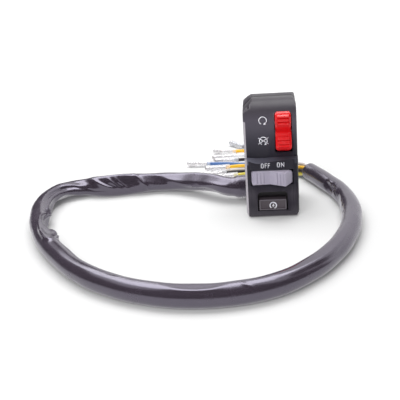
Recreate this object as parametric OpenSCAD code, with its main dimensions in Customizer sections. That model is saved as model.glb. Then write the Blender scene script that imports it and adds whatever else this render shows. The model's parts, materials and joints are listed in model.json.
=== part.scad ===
// Right-hand handlebar switch cluster: engine-stop rocker, light rocker and
// starter button in a two-half clamp housing, with its harness lying in one loop.
// X runs along the handlebar, -Y faces the rider, +Z is up, origin on the bar axis.

/* [Housing] */
// Width of the housing along the handlebar
housing_w = 32; // [31:0.5:40]
// Height of the housing above the bar axis
housing_top = 35; // [34:0.5:42]
// Depth of the flat foot below the bar axis
housing_drop = 35; // [34.5:0.5:42]
// Distance from the bar axis to the upper switch panel
upper_face = 19; // [18.5:0.5:24]
// Distance from the bar axis to the raised lower panel
lower_face = 24; // [23.5:0.5:30]
// Distance from the bar axis to the back of the housing
rear_depth = 21; // [20.5:0.5:28]
// Thickness of the moulded walls
wall = 2.2; // [1.8:0.1:2.4]
// Height of the ledge between the two panels, above the foot
ledge_z = 37; // [36:0.5:39]
// Height over which the ledge slopes
ledge_fall = 2.4; // [1:0.2:3]
// Size of the cut at the upper left corner
corner_cut = 6; // [3:0.5:7]
// Radius of the upright edges beside the panels
edge_r = 3; // [1:0.5:3.5]
// Radius of the edge between the top and the upper panel
brow_r = 4.5; // [2:0.5:4.5]
// Radius of the upper edge of the back
back_r = 15; // [8:0.5:16]

/* [Handlebar] */
// Diameter of the handlebar that the housing clamps
bar_d = 22.2; // [21:0.1:23]
// Wall of the saddle around the bar
saddle_wall = 1.8; // [1.2:0.1:2]

/* [Engine stop rocker] */
// Length of the rocker
kill_len = 22.4; // [20:0.2:23]
// Width of the rocker
kill_w = 9.5; // [8:0.1:9.8]
// Distance of the rocker's middle from the right side of the housing
kill_x = 8.2; // [8:0.1:8.6]
// Height of the rocker's pivot above the bar axis
kill_z = 17.1; // [16.8:0.1:18.6]
// Angle that the rocker turns through
kill_tilt = 14; // [8:1:16]
// Angle of each half of the rocker to its own middle plane
kill_vee = 9; // [4:1:12]

/* [Light rocker] */
// Length of the rocker
light_len = 23.2; // [18:0.2:23.6]
// Width of the rocker
light_w = 8.7; // [7:0.1:9]
// Height of the rocker's middle above the foot
light_z = 25.6; // [25.2:0.1:25.8]
// Angle that the rocker turns through
light_tilt = 18; // [8:1:18]
// Angle of each half of the rocker to its own middle plane
light_vee = 16; // [8:1:18]

/* [Starter button] */
// Land between the pocket around the button and the screw bosses beside it
pocket_land = 0.2; // [0.2:0.1:1.4]
// Gap at each side of the button in its pocket
button_gap = 0.85; // [0.6:0.05:2]
// Height of the button
start_h = 6.8; // [6:0.2:7]
// Height of the button's middle above the foot
start_z = 7.9; // [7.6:0.1:8.2]
// Distance that the button is pressed
start_travel = 3; // [1.5:0.1:3]
// Height of the pocket around the button
pocket_h = 12.2; // [10:0.2:12.4]

/* [Fasteners] */
// Diameter of the two clamp screws
screw_d = 4; // [3:0.5:4.5]
// Outside diameter of the brass inserts
insert_d = 5.6; // [5.4:0.1:6]
// Diameter of the small screws in the switch bases
base_screw_d = 2.2; // [1.8:0.1:2.4]
// Diameter of the rocker pivot pins
pin_d = 2; // [1.5:0.1:2.2]

/* [Harness] */
// Diameter of the harness sleeve
sleeve_d = 11.5; // [10:0.5:12]
// Diameter of the sleeve at its open end
mouth_d = 11; // [10:0.5:12]
// Diameter of each wire
wire_d = 2.2; // [1.6:0.1:2.2]
// Length of a bullet terminal
terminal_l = 15; // [12:0.5:18]
// Outside diameter of a clear terminal sleeve
clear_d = 4.6; // [4.4:0.1:4.8]

/* [Clearances] */
// Gap between the two halves of the housing
seam_gap = 0.3; // [0.1:0.05:0.5]
// Radial clearance of a rocker on its pin
run_gap = 0.05; // [0.02:0.01:0.1]
// Clearance around pieces that slide
slip_gap = 0.3; // [0.2:0.05:0.4]
// Radial clearance of pieces that are pressed in
press_gap = 0.02; // [0.01:0.01:0.05]

/* [Hidden] */
$fn = 48;

// Housing
half_w = housing_w / 2;
bar_r = bar_d / 2;
saddle_r = bar_r + saddle_wall;
upper_inside = upper_face - wall;
lower_inside = lower_face - wall;
foot_r = 2.5;
top_r = 3;
heel_r = 10;
rear_edge_r = 6;
least_r = 0.5;
over = 1;
foot = -housing_drop;
ledge_top = foot + ledge_z;
kill_mid = half_w - kill_x;
light_mid = foot + light_z;
start_mid = foot + start_z;

// Rocker switches, in their own frame: pivot at the origin, length on X, front on -Y
pivot_depth = 4.8;
face_proud = 0.7;
pivot_rise = pivot_depth + face_proud;
kill_nose = 1.2;
light_nose = 2.8;
ridges = [0.4, 0.56, 0.72];
ridge_r = 0.45;
hub_r = 2.2;
rim = 1.9;
side_gap = 0.25;
ear_t = 0.8;
finger_reach = 4;
finger_tip_r = 0.9;
finger_t = 1.2;
finger_w = 3;
slider_front = 3;
slider_back = 5;
slider_half = 5;
moving_t = 0.3;
contact_gap = 0.1;
fixed_t = 0.3;
floor_front = slider_back + moving_t + contact_gap + fixed_t;
floor_t = 1;
floor_back = floor_front + floor_t;
rail_front = 1.6;
pad = 2.4;
pad_pitch = 3.4;
moving_w = 1.7;
tail = [0.8, 3.2, 0.5];
tail_gap = 0.2;
tail_end = floor_front - fixed_t + tail[1];
detent_lane = 1;
leaf_t = 0.3;
leaf_gap = 0.05;
leaf_inset = 0.2;
leaf_nose_half = 1.5;
leaf_nose_reach = 0.25;
notch = 0.7;
kill_base_half = 7.4;
light_base_half = 9.6;
kill_y = -(upper_face - pivot_depth);
light_y = -(lower_face - pivot_depth);
kill_half_angle = kill_tilt / 2;
light_half_angle = light_tilt / 2;
window_gap = 0.45;

// Small screws that hold the switch bases, and the pocket between those of the starter
base_boss_r = 1.9;
boss_room = 0.2;
boss_clear = 0.6;
tab_half = base_boss_r - slip_gap;
pocket_rim = 0.5;
pocket_w = housing_w - 2 * (wall + boss_room + 2 * base_boss_r + pocket_land + pocket_rim);
start_w = pocket_w - 2 * button_gap;
flange_t = 1.5;
base_screw_l = 5;
base_screw_head_r = 2;
base_screw_head_h = 1.4;
cross_l = 2.6;
cross_w = 0.5;
tip_room = 0.2;
kill_boss_l = 4.3;
light_boss_l = 4.2;
start_boss_l = 6.8;
kill_boss_y = kill_boss_l - upper_inside;
light_boss_y = light_boss_l - lower_inside;
start_boss_y = start_boss_l - lower_inside;
kill_screw_pitch = 9.8;
light_screw_drop = 7;
start_screw_drop = 2.4;
kill_screw_x = kill_mid - kill_w / 2 - side_gap - ear_t - base_boss_r - boss_clear;
base_screw_x = half_w - wall - base_boss_r - boss_room;
kill_screws = [for (s = [-1, 1]) [kill_screw_x, kill_z + s * kill_screw_pitch / 2]];
light_screws = [for (s = [-1, 1]) [s * base_screw_x, light_mid - light_screw_drop]];
start_screws = [for (s = [-1, 1]) [s * base_screw_x, start_mid - start_screw_drop]];

// Clamp screws: places as [x, z], seat of the head and insert behind the seam
clamp_x = -8;
clamp_above = 12.9;
clamp_below = 5.4;
clamp_at = [[clamp_x, bar_r + clamp_above], [0, -bar_r - clamp_below]];
clamp_seat = 8;
clamp_reach = 7.6;
clamp_head_r = 3.8;
clamp_head_h = 2.8;
clamp_boss_r = 3.8;
head_wall = 1.4;
hex_r = 1.7;
hex_depth = 1.7;
insert_l = 7;
insert_room = 0.4;
rib_t = 2.4;

// Starter switch
thumb_room = 5.2;
pocket_z = start_mid + start_h / 2 - pocket_h / 2 + thumb_room;
pocket_r = 2.5;
rim_show = 0.1;
pocket_depth = 5.4;
plate_front = lower_face - pocket_depth;
plate_t = 1.4;
guide_wall = 0.5;
button_sunk = 0.6;
button_front = lower_face - button_sunk;
button_dish = 0.7;
button_rim = 0.8;
stop_t = 1.2;
stop_lip = 0.4;
stop_gap = 0.15;
stop_front = plate_front - plate_t - stop_gap;
start_floor_front = 9.2;
start_floor_t = 1.2;
stem_r = 1.6;
bridge_t = 0.3;
bridge_half = 6;
bridge_h = 2.6;
bridge_back = start_floor_front - start_floor_t - contact_gap - bridge_t;
start_contact_front = bridge_back - start_travel - contact_gap;
start_pad = [4.6, 3];
start_post = [2, 4];
start_post_x = bridge_half + start_post[0];
start_pad_x = start_post_x + start_post[0] / 2 - start_pad[0] / 2;
clip_t = 0.5;
clip_w = 1;
stem_tail = 0.6;
stem_end = bridge_back - clip_t - stem_tail;
spring_wire = 0.5;
spring_r = 2.5;
spring_turns = 5;
spring_steps = 12;
spring_sides = 6;

// Harness exit
port_y = 9.5;
port_z = 9.3;
port_mid = foot + port_z;
port_r = 5.5;
grommet_flange_r = 7;
grommet_flange_t = 4;
grommet_bore_r = 4;
grommet_lip = 0.4;
exit_x = -half_w - grommet_flange_t;
exit_run = 7;

// Sleeve route: [x, y, height of its underside above the foot]
sleeve_lift = port_z - sleeve_d / 2;
sleeve_route = [
  [exit_x, port_y, sleeve_lift], [exit_x - exit_run, port_y, sleeve_lift],
  [-37, 15.5, 4.2], [-47, 23, 3.2], [-58, 29.5, 1.6], [-73, 34.5, 0.4], [-93, 36, 0], [-111, 35, 0],
  [-127, 32, 0], [-139, 24.5, 0], [-146, 11, 0], [-148, -5, 0], [-145.5, -24, 0], [-140.5, -44, 0],
  [-132, -66, 0], [-119, -87, 0], [-104, -106, 0], [-86, -122, 0], [-64, -134, 0],
  [-42, -139, 0], [-19, -137, 0], [0, -129, 0], [16, -114, 0], [29, -95, 0], [39, -72, 0],
  [45, -46, 0], [46, -20, 0], [42, 4, 0], [35.5, 22, 0], [30, 36, 0], [25, 47, 0]
];
mouth_taper = 6;
sleeve_sides = 10;
wire_sides = 8;

// Wire routes: [x, y, height of the middle above the foot], from the sleeve's mouth
wire_routes = [
  [[21.9, 45.6, 3.6], [18.6, 49.6, 2.4], [11, 52, 1.2], [-3, 54.5, 1.2], [-16, 54.6, 2.4], [-26, 52.6, 2.4]],
  [[21.9, 45.6, 6.6], [18.8, 50.8, 5.4], [12, 54.8, 3.6], [-3, 59.5, 1.2], [-21, 61, 2.4], [-34, 59, 2.4]],
  [[24, 46.5, 3.6], [20.8, 52, 2.4], [14.5, 57.5, 1.2], [1, 67, 1.2], [-19, 73.5, 2.4], [-32, 71.7, 2.4]],
  [[24, 46.5, 6.6], [20.9, 53.2, 5.4], [15, 60.2, 3.6], [2, 72, 1.2], [-25, 78.5, 2.4], [-46, 82, 2.4]],
  [[26, 47.5, 3.6], [22.9, 54.3, 2.4], [17, 62.3, 1.2], [5, 76.5, 1.2], [-14, 88, 2.4], [-26, 88, 2.4]],
  [[26, 47.5, 6.6], [23, 55.2, 5.4], [17.6, 65, 3.6], [7, 82.5, 1.2], [-14, 99.5, 2.4], [-28, 97.7, 2.4]],
  [[28.1, 48.4, 3.6], [25, 56, 2.4], [19.4, 67.5, 1.2], [9, 88, 1.2], [-13, 108.5, 2.4], [-28, 110.7, 2.4]],
  [[28.1, 48.4, 6.6], [25.2, 56.8, 5.4], [20, 70, 3.6], [12, 93, 1.2], [-13.5, 114, 2.4], [-21, 123, 2.4]]
];
wire_colors = ["yellowgreen", "dimgray", "gold", "royalblue", "dimgray", "white", "gold", "gray"];
terminal_r = 1.95;
crimp_r = 1.5;
crimp_l = 6;
neck_r = 1;
neck_l = 10;
barrel_at = 8.3;
clear_l = 17;
clear_overlap = 3;
clear_gap = 0.1;

// Outline helpers

// Region outside a round of radius r at a corner; turn 0 is the upper right corner
module round_cut(x, y, r, turn) {
  translate([x, y]) rotate(turn) translate([-r, -r])
    difference() {
      square(r + over);
      circle(r);
    }
}

// Outline of the housing seen from the front, drawn in by inset
module front_outline(inset = 0) {
  w = half_w - inset;
  top = housing_top - inset;
  bottom = foot + inset;
  cut = corner_cut - inset * (2 - sqrt(2));
  difference() {
    translate([-w, bottom]) square([2 * w, top - bottom]);
    polygon([[-w - over, top - cut - over], [-w + cut + over, top + over], [-w - over, top + over]]);
    round_cut(w, top, max(top_r - inset, least_r), 0);
    round_cut(-w, bottom, max(foot_r - inset, least_r), 180);
    round_cut(w, bottom, max(foot_r - inset, least_r), 270);
  }
}

// Solid between two depths whose front view is its children
module along_y(front, back) {
  translate([0, back, 0]) rotate([90, 0, 0]) linear_extrude(back - front) children();
}

// Solid over the whole width whose side view, drawn as [y, z], is its children
module along_x(width) {
  translate([-width / 2, 0, 0]) rotate([90, 0, 90]) linear_extrude(width) children();
}

// Plan of a panel block: depth in front of the seam, with rounded front edges
module front_plan(depth) {
  difference() {
    translate([-half_w, -depth]) square([housing_w, depth]);
    round_cut(-half_w, -depth, edge_r, 180);
    round_cut(half_w, -depth, edge_r, 270);
  }
}

// Side view of the upper panel block
module upper_side() {
  difference() {
    translate([-upper_face, -ledge_fall]) square([upper_face, housing_top + ledge_fall]);
    round_cut(-upper_face, housing_top, brow_r, 90);
  }
}

// Side view of the raised lower block, with its sloping ledge
module lower_side() {
  difference() {
    polygon([
      [0, foot], [-lower_face, foot], [-lower_face, ledge_top - ledge_fall],
      [-upper_face, ledge_top], [0, ledge_top]
    ]);
    round_cut(-lower_face, foot, foot_r, 180);
  }
}

// Upright block with the plan of one panel
module panel_block(depth) {
  translate([0, 0, foot]) linear_extrude(housing_drop + housing_top) front_plan(depth);
}

module front_outside() {
  intersection() {
    along_y(-lower_face, -seam_gap / 2) front_outline();
    union() {
      intersection() {
        panel_block(upper_face);
        along_x(housing_w) upper_side();
      }
      intersection() {
        panel_block(lower_face);
        along_x(housing_w) lower_side();
      }
    }
  }
}

module front_inside() {
  ceiling = ledge_top - ledge_fall - wall;
  along_y(-upper_inside, over) front_outline(wall);
  intersection() {
    along_y(-lower_inside, over) front_outline(wall);
    translate([-half_w, -lower_face, foot])
      cube([housing_w, lower_face + over, housing_drop + ceiling]);
  }
}

module rear_side() {
  difference() {
    translate([seam_gap / 2, foot])
      square([rear_depth - seam_gap / 2, housing_drop + housing_top]);
    round_cut(rear_depth, housing_top, back_r, 0);
    round_cut(rear_depth, foot, heel_r, 270);
  }
}

module rear_plan(inset = 0) {
  r = rear_edge_r - inset;
  difference() {
    translate([-half_w + inset, -over]) square([housing_w - 2 * inset, rear_depth - inset + over]);
    round_cut(half_w - inset, rear_depth - inset, r, 0);
    round_cut(-half_w + inset, rear_depth - inset, r, 90);
  }
}

module rear_outside() {
  intersection() {
    along_y(seam_gap / 2, rear_depth) front_outline();
    along_x(housing_w) rear_side();
    translate([0, 0, foot]) linear_extrude(housing_drop + housing_top) rear_plan();
  }
}

module rear_inside() {
  back = rear_depth - wall;
  intersection() {
    along_y(-over, back) front_outline(wall);
    along_x(housing_w) difference() {
      translate([-over, foot]) square([back + over, housing_drop + housing_top]);
      round_cut(back, housing_top - wall, back_r - wall, 0);
      round_cut(back, foot + wall, heel_r - wall, 270);
    }
    translate([0, 0, foot]) linear_extrude(housing_drop + housing_top) rear_plan(wall);
  }
}

// Round boss or hole along Y between two depths
module post_y(at, front, back, r) {
  translate([at[0], back, at[1]]) rotate([90, 0, 0]) cylinder(h = back - front, r = r);
}

// Upright slab of the saddle around the bar, on one side of the seam
module saddle(front, back) {
  intersection() {
    rotate([0, 90, 0]) cylinder(h = housing_w - wall, r = saddle_r, center = true);
    translate([-half_w, front, -saddle_r]) cube([housing_w, back - front, 2 * saddle_r]);
  }
}

module bar_hole() {
  rotate([0, 90, 0]) cylinder(h = housing_w + 2 * over, r = bar_r, center = true);
}

// Height of a rocker's raised end above its pivot plane
function rocker_end(len, vee, nose) = pivot_rise + len / 2 * tan(vee) - nose;

// Window in the panel, in the rocker's own frame, clear of the rocker as it turns
module rocker_window(len, width, vee, nose, turn) {
  half_l = len / 2 * cos(turn) + rocker_end(len, vee, nose) * sin(turn) + window_gap;
  half_h = width / 2 + window_gap;
  translate([-half_l, -pivot_depth - over, -half_h])
    cube([2 * half_l, wall + 2 * over, 2 * half_h]);
}

// Space that a switch base and its contact tails take out of the saddle, in the rocker's own frame
module base_room(half, width) {
  half_h = width / 2 + side_gap + ear_t + slip_gap;
  tails_half = pad_pitch + tail[0] / 2 + slip_gap;
  tail_half_h = tail[2] / 2 + slip_gap;
  translate([-half - slip_gap, 0, -half_h])
    cube([2 * (half + slip_gap), floor_back + slip_gap, 2 * half_h]);
  translate([-tails_half, 0, -tail_half_h])
    cube([2 * tails_half, tail_end + slip_gap, 2 * tail_half_h]);
}

module pocket_outline(grow = 0) {
  w = pocket_w / 2 + grow;
  low = pocket_z - pocket_h / 2 - grow;
  high = pocket_z + pocket_h / 2 + grow;
  difference() {
    translate([-w, low]) square([2 * w, high - low]);
    round_cut(w, high, pocket_r + grow, 0);
    round_cut(-w, high, pocket_r + grow, 90);
  }
}

module front_housing() color("dimgray") {
  difference() {
    union() {
      difference() {
        front_outside();
        front_inside();
      }
      intersection() {
        front_outside();
        union() {
          difference() {
            saddle(-saddle_r, -seam_gap / 2);
            at_kill() base_room(kill_base_half, kill_w);
            at_light() base_room(light_base_half, light_w);
          }
          post_y(clamp_at[0], -upper_inside - over, -seam_gap / 2, clamp_boss_r);
          post_y(clamp_at[1], -clamp_reach, -seam_gap / 2, clamp_boss_r);
          translate([-half_w + wall / 2, -clamp_reach, clamp_at[1][1] - rib_t / 2])
            cube([housing_w - wall, clamp_reach - seam_gap / 2, rib_t]);
          for (p = kill_screws) post_y(p, -upper_inside - over, kill_boss_y, base_boss_r);
          for (p = light_screws) post_y(p, -lower_inside - over, light_boss_y, base_boss_r);
          for (p = start_screws) post_y(p, -lower_inside - over, start_boss_y, base_boss_r);
        }
      }
    }
    bar_hole();
    for (p = clamp_at) post_y(p, -clamp_reach - insert_room, over, insert_d / 2 + press_gap);
    for (p = kill_screws) screw_hole(p, kill_boss_y);
    for (p = light_screws) screw_hole(p, light_boss_y);
    for (p = start_screws) screw_hole(p, start_boss_y);
    at_kill() rocker_window(kill_len, kill_w, kill_vee, kill_nose, kill_half_angle);
    at_light() rocker_window(light_len, light_w, light_vee, light_nose, light_half_angle);
    along_y(-lower_face - over, -lower_inside + over) pocket_outline();
  }
}

module screw_hole(at, mouth) {
  post_y(at, mouth - base_screw_l + flange_t - tip_room, mouth + over, base_screw_d / 2 + press_gap);
}

module rear_housing() color("dimgray") {
  rear_boss_r = clamp_head_r + head_wall;
  difference() {
    union() {
      difference() {
        rear_outside();
        rear_inside();
      }
      intersection() {
        rear_outside();
        union() {
          saddle(seam_gap / 2, saddle_r);
          for (p = clamp_at) post_y(p, seam_gap / 2, rear_depth, rear_boss_r);
        }
      }
    }
    bar_hole();
    for (p = clamp_at) {
      post_y(p, -over, rear_depth + over, screw_d / 2 + slip_gap);
      post_y(p, clamp_seat, rear_depth + over, clamp_head_r + slip_gap);
    }
    translate([-half_w - over, port_y, port_mid]) rotate([0, 90, 0])
      cylinder(h = wall + 2 * over, r = port_r);
  }
}

// Screw along -Y: head behind its seat, shank in front of it
module screw_y(at, seat, d, reach, head_r, head_h) {
  difference() {
    union() {
      post_y(at, seat - reach, seat + head_h / 2, d / 2);
      post_y(at, seat, seat + head_h, head_r);
    }
    children();
  }
}

module clamp_screws() color("silver") {
  for (p = clamp_at)
    screw_y(p, clamp_seat, screw_d, clamp_seat + clamp_reach, clamp_head_r, clamp_head_h)
      translate([p[0], clamp_seat + clamp_head_h + over, p[1]]) rotate([90, 0, 0])
        cylinder(h = over + hex_depth, r = hex_r, $fn = 6);
}

module thread_inserts() color("gold") {
  for (p = clamp_at)
    difference() {
      post_y(p, -clamp_reach, -clamp_reach + insert_l, insert_d / 2);
      post_y(p, -clamp_reach - over, over, screw_d / 2 + run_gap);
    }
}

module base_screws() color("silver") {
  for (p = kill_screws) base_screw(p, kill_boss_y + flange_t);
  for (p = light_screws) base_screw(p, light_boss_y + flange_t);
  for (p = start_screws) base_screw(p, start_boss_y + flange_t);
}

module base_screw(at, seat) {
  screw_y(at, seat, base_screw_d, base_screw_l, base_screw_head_r, base_screw_head_h)
    for (turn = [0, 90])
      translate([at[0], seat + base_screw_head_h, at[1]]) rotate([0, turn, 0])
        cube([cross_l, base_screw_head_h, cross_w], center = true);
}

// Rocker switch pieces in the rocker's own frame

// Side view of a rocker: two ramps that meet in a vee, ridged for the thumb
module rocker_side(len, vee, nose) {
  half = len / 2;
  shoulder = half - nose;
  for (turn = [0, 1]) mirror([turn, 0]) {
    polygon([
      [0, -pivot_rise], [shoulder, -pivot_rise - shoulder * tan(vee)],
      [half, -rocker_end(len, vee, nose)], [half, -rim], [0, -rim]
    ]);
    for (k = ridges) translate([k * half, -pivot_rise - k * half * tan(vee)]) circle(ridge_r);
  }
}

module rocker(len, width, vee, nose) {
  difference() {
    union() {
      translate([0, 0, -width / 2]) linear_extrude(width) {
        rocker_side(len, vee, nose);
        circle(hub_r);
      }
      translate([0, 0, -finger_w / 2]) linear_extrude(finger_w) {
        translate([-finger_t / 2, 0]) square([finger_t, finger_reach]);
        translate([0, finger_reach]) circle(finger_tip_r);
      }
    }
    cylinder(h = width + 2 * over, r = pin_d / 2 + run_gap, center = true);
  }
}

module pivot_pin(width) {
  cylinder(h = width + 2 * (side_gap + ear_t), r = pin_d / 2, center = true);
}

module switch_base(half, width) {
  inner = width / 2 + side_gap;
  difference() {
    union() {
      translate([-half, floor_front, -inner - ear_t]) cube([2 * half, floor_t, 2 * (inner + ear_t)]);
      for (z = [-inner - ear_t, inner]) translate([0, 0, z]) linear_extrude(ear_t) {
        translate([-half, rail_front]) square([2 * half, floor_back - rail_front]);
        translate([-hub_r, 0]) square([2 * hub_r, floor_back]);
        circle(hub_r);
      }
    }
    cylinder(h = width + 4 * over, r = pin_d / 2 + press_gap, center = true);
    for (k = [-1, 0, 1])
      translate([k * pad_pitch, floor_back, 0])
        cube([tail[0] + tail_gap, 2 * (floor_t + over), tail[2] + tail_gap], center = true);
  }
}

// Contact carrier that the rocker's finger pushes; shift is its place at rest
module contact_slider(width, shift) {
  low = -width / 2 - side_gap + contact_gap;
  high = width / 2 + side_gap - detent_lane;
  translate([shift, 0, 0]) difference() {
    translate([-slider_half, slider_front, low])
      cube([2 * slider_half, slider_back - slider_front, high - low]);
    translate([0, slider_front, 0])
      cube([2 * (finger_tip_r + contact_gap), 4 * finger_reach, finger_w + 2 * slip_gap], center = true);
    for (s = [-1, 1])
      translate([s * shift, slider_front, high]) rotate([0, 45, 0])
        cube([notch, 4 * slider_back, notch], center = true);
  }
}

module moving_contact(shift) {
  translate([shift - pad_pitch - pad / 2, slider_back, -moving_w / 2])
    cube([2 * pad_pitch - pad / 2, moving_t, moving_w]);
}

module fixed_contacts() {
  for (k = [-1, 0, 1]) {
    translate([k * pad_pitch - pad / 2, floor_front - fixed_t, -pad / 2]) cube([pad, fixed_t, pad]);
    translate([k * pad_pitch - tail[0] / 2, floor_front - fixed_t, -tail[2] / 2]) cube(tail);
  }
}

// Leaf spring beside the slider, with a nose in one of its two notches
module detent_leaf(width) {
  rail = width / 2 + side_gap - leaf_gap;
  nose = width / 2 + side_gap - detent_lane - leaf_nose_reach;
  leaf_w = slider_back - slider_front - 2 * leaf_inset;
  translate([0, slider_back - leaf_inset, 0]) rotate([90, 0, 0]) linear_extrude(leaf_w)
    polygon([
      [-slider_half, rail], [-leaf_nose_half, rail], [0, nose + leaf_t],
      [leaf_nose_half, rail], [slider_half, rail], [slider_half, rail - leaf_t],
      [leaf_nose_half, rail - leaf_t], [0, nose], [-leaf_nose_half, rail - leaf_t],
      [-slider_half, rail - leaf_t]
    ]);
}

// Places of the two rocker switches
module at_kill() {
  translate([kill_mid, kill_y, kill_z]) rotate([0, -90, 0]) children();
}

module at_light() {
  translate([0, light_y, light_mid]) children();
}

// Slide of a contact carrier at rest: half the rocker's angle times the finger's reach
function rest_shift(angle) = finger_reach * angle * PI / 180;
kill_shift = -rest_shift(kill_half_angle);
light_shift = rest_shift(light_half_angle);

module kill_rocker() color("crimson")
  at_kill() rotate(kill_half_angle) rocker(kill_len, kill_w, kill_vee, kill_nose);
module kill_pivot_pin() color("silver") at_kill() pivot_pin(kill_w);
module kill_slider() color("ivory") at_kill() contact_slider(kill_w, kill_shift);
module kill_moving_contact() color("orange") at_kill() moving_contact(kill_shift);
module kill_fixed_contacts() color("gold") at_kill() fixed_contacts();
module kill_detent_spring() color("lightsteelblue") at_kill() detent_leaf(kill_w);

module kill_base() color("darkslategray") {
  at_kill() switch_base(kill_base_half, kill_w);
  inner_x = kill_mid - kill_w / 2 - side_gap;
  for (p = kill_screws)
    base_tab(p, kill_boss_y, [p[0] - tab_half, p[1] - tab_half], [inner_x, p[1] + tab_half]);
}

module light_rocker() color("silver")
  at_light() rotate(-light_half_angle) rocker(light_len, light_w, light_vee, light_nose);
module light_pivot_pin() color("silver") at_light() pivot_pin(light_w);
module light_slider() color("ivory") at_light() contact_slider(light_w, light_shift);
module light_moving_contact() color("orange") at_light() moving_contact(light_shift);
module light_fixed_contacts() color("gold") at_light() fixed_contacts();
module light_detent_spring() color("lightsteelblue") at_light() detent_leaf(light_w);

module light_base() color("darkslategray") {
  at_light() switch_base(light_base_half, light_w);
  for (p = light_screws) {
    low_x = p[0] > 0 ? light_base_half - over : p[0] - tab_half;
    high_x = p[0] > 0 ? p[0] + tab_half : over - light_base_half;
    base_tab(p, light_boss_y, [low_x, p[1] - tab_half], [high_x, light_mid - light_w / 2 - side_gap]);
  }
}

// Flat tab of a base over a screw boss, between two corners given as [x, z]
module base_tab(at, front, low, high) {
  difference() {
    translate([low[0], front, low[1]]) cube([high[0] - low[0], flange_t, high[1] - low[1]]);
    post_y(at, front - over, front + flange_t + over, base_screw_d / 2 + slip_gap / 2);
  }
}

// Starter switch

module starter_base() color("black") {
  guide_w = start_w / 2 + slip_gap;
  guide_h = start_h / 2 + slip_gap;
  box_half = guide_h + guide_wall;
  box_depth = plate_front - start_floor_front + start_floor_t;
  difference() {
    union() {
      along_y(-lower_inside + contact_gap, -plate_front + plate_t) pocket_outline(pocket_rim);
      translate([-pocket_w / 2, -plate_front, start_mid - box_half])
        cube([pocket_w, box_depth, 2 * box_half]);
      for (s = [-1, 1])
        translate([s * start_post_x - start_post[0] / 2, -start_floor_front, start_mid - start_post[1] / 2])
          cube([start_post[0], start_floor_front - start_contact_front, start_post[1]]);
      for (p = start_screws) {
        low_x = p[0] > 0 ? pocket_w / 2 - over : p[0] - tab_half;
        high_x = p[0] > 0 ? p[0] + tab_half : over - pocket_w / 2;
        base_tab(p, start_boss_y, [low_x, p[1] - tab_half], [high_x, p[1] + tab_half]);
      }
    }
    along_y(-lower_inside - over, -plate_front) pocket_outline(-rim_show);
    translate([-guide_w, -plate_front - over, start_mid - guide_h])
      cube([2 * guide_w, plate_t + 2 * over, 2 * guide_h]);
    translate([-guide_w - stop_lip, -plate_front + plate_t, start_mid - guide_h])
      cube([2 * (guide_w + stop_lip), plate_front - plate_t - start_floor_front, 2 * guide_h]);
    post_y([0, start_mid], -start_floor_front - over, over, stem_r + slip_gap);
  }
}

module starter_button() color("black") {
  face = [start_w - 2 * button_rim, button_dish + over, start_h - 2 * button_rim];
  difference() {
    union() {
      translate([-start_w / 2, -button_front, start_mid - start_h / 2])
        cube([start_w, button_front - stop_front + stop_t, start_h]);
      translate([-start_w / 2 - stop_lip, -stop_front, start_mid - start_h / 2])
        cube([start_w + 2 * stop_lip, stop_t, start_h]);
      post_y([0, start_mid], -stop_front, -stem_end, stem_r);
    }
    translate([-face[0] / 2, -button_front - over, start_mid - face[2] / 2]) cube(face);
  }
}

module starter_bridge() color("orange") {
  difference() {
    translate([-bridge_half, -bridge_back - bridge_t, start_mid - bridge_h])
      cube([2 * bridge_half, bridge_t, 2 * bridge_h]);
    post_y([0, start_mid], -bridge_back - over, over, stem_r + press_gap);
  }
}

module starter_clip() color("silver") {
  difference() {
    post_y([0, start_mid], -bridge_back, -bridge_back + clip_t, stem_r + clip_w);
    post_y([0, start_mid], -bridge_back - over, over, stem_r + press_gap);
  }
}

module starter_contacts() color("gold") {
  for (s = [-1, 1])
    translate([s * start_pad_x - start_pad[0] / 2, -start_contact_front, start_mid - start_pad[1] / 2])
      cube([start_pad[0], fixed_t, start_pad[1]]);
}

// Coil around the button's stem, from the button to the floor of the base
module starter_spring() color("lightsteelblue") {
  front = stop_front - stop_t - spring_wire / 2 - contact_gap;
  back = start_floor_front + spring_wire / 2 + contact_gap;
  steps = spring_steps * spring_turns;
  route = [for (i = [0:steps]) [
    spring_r * cos(360 * i * spring_turns / steps),
    -front + (front - back) * i / steps,
    start_mid + spring_r * sin(360 * i * spring_turns / steps)
  ]];
  sweep(route, [for (p = route) spring_wire / 2], spring_sides, [0, 1, 0]);
}

// Harness

module cable_grommet() color("black") {
  translate([-half_w, port_y, port_mid]) rotate([0, 90, 0]) difference() {
    union() {
      translate([0, 0, -grommet_flange_t]) cylinder(h = grommet_flange_t - press_gap, r = grommet_flange_r);
      translate([0, 0, -grommet_flange_t / 2])
        cylinder(h = wall + grommet_flange_t, r = port_r - press_gap);
      translate([0, 0, wall + press_gap])
        cylinder(h = grommet_flange_t / 2 - press_gap, r = port_r + grommet_lip);
    }
    translate([0, 0, -grommet_flange_t - over])
      cylinder(h = wall + 3 * grommet_flange_t, r = grommet_bore_r);
  }
}

function unit(v) = v / norm(v);
function heading(route, i) = unit(route[min(i + 1, len(route) - 1)] - route[max(i - 1, 0)]);

// Ring of points around one point of a route, square to the route there
function ring(route, radii, sides, up, i) =
  let (
    ahead = heading(route, i),
    side = unit(cross(ahead, up)),
    top = cross(side, ahead)
  )
  [for (k = [0:sides - 1])
    route[i] + radii[i] * (cos(360 * k / sides) * side + sin(360 * k / sides) * top)];

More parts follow.
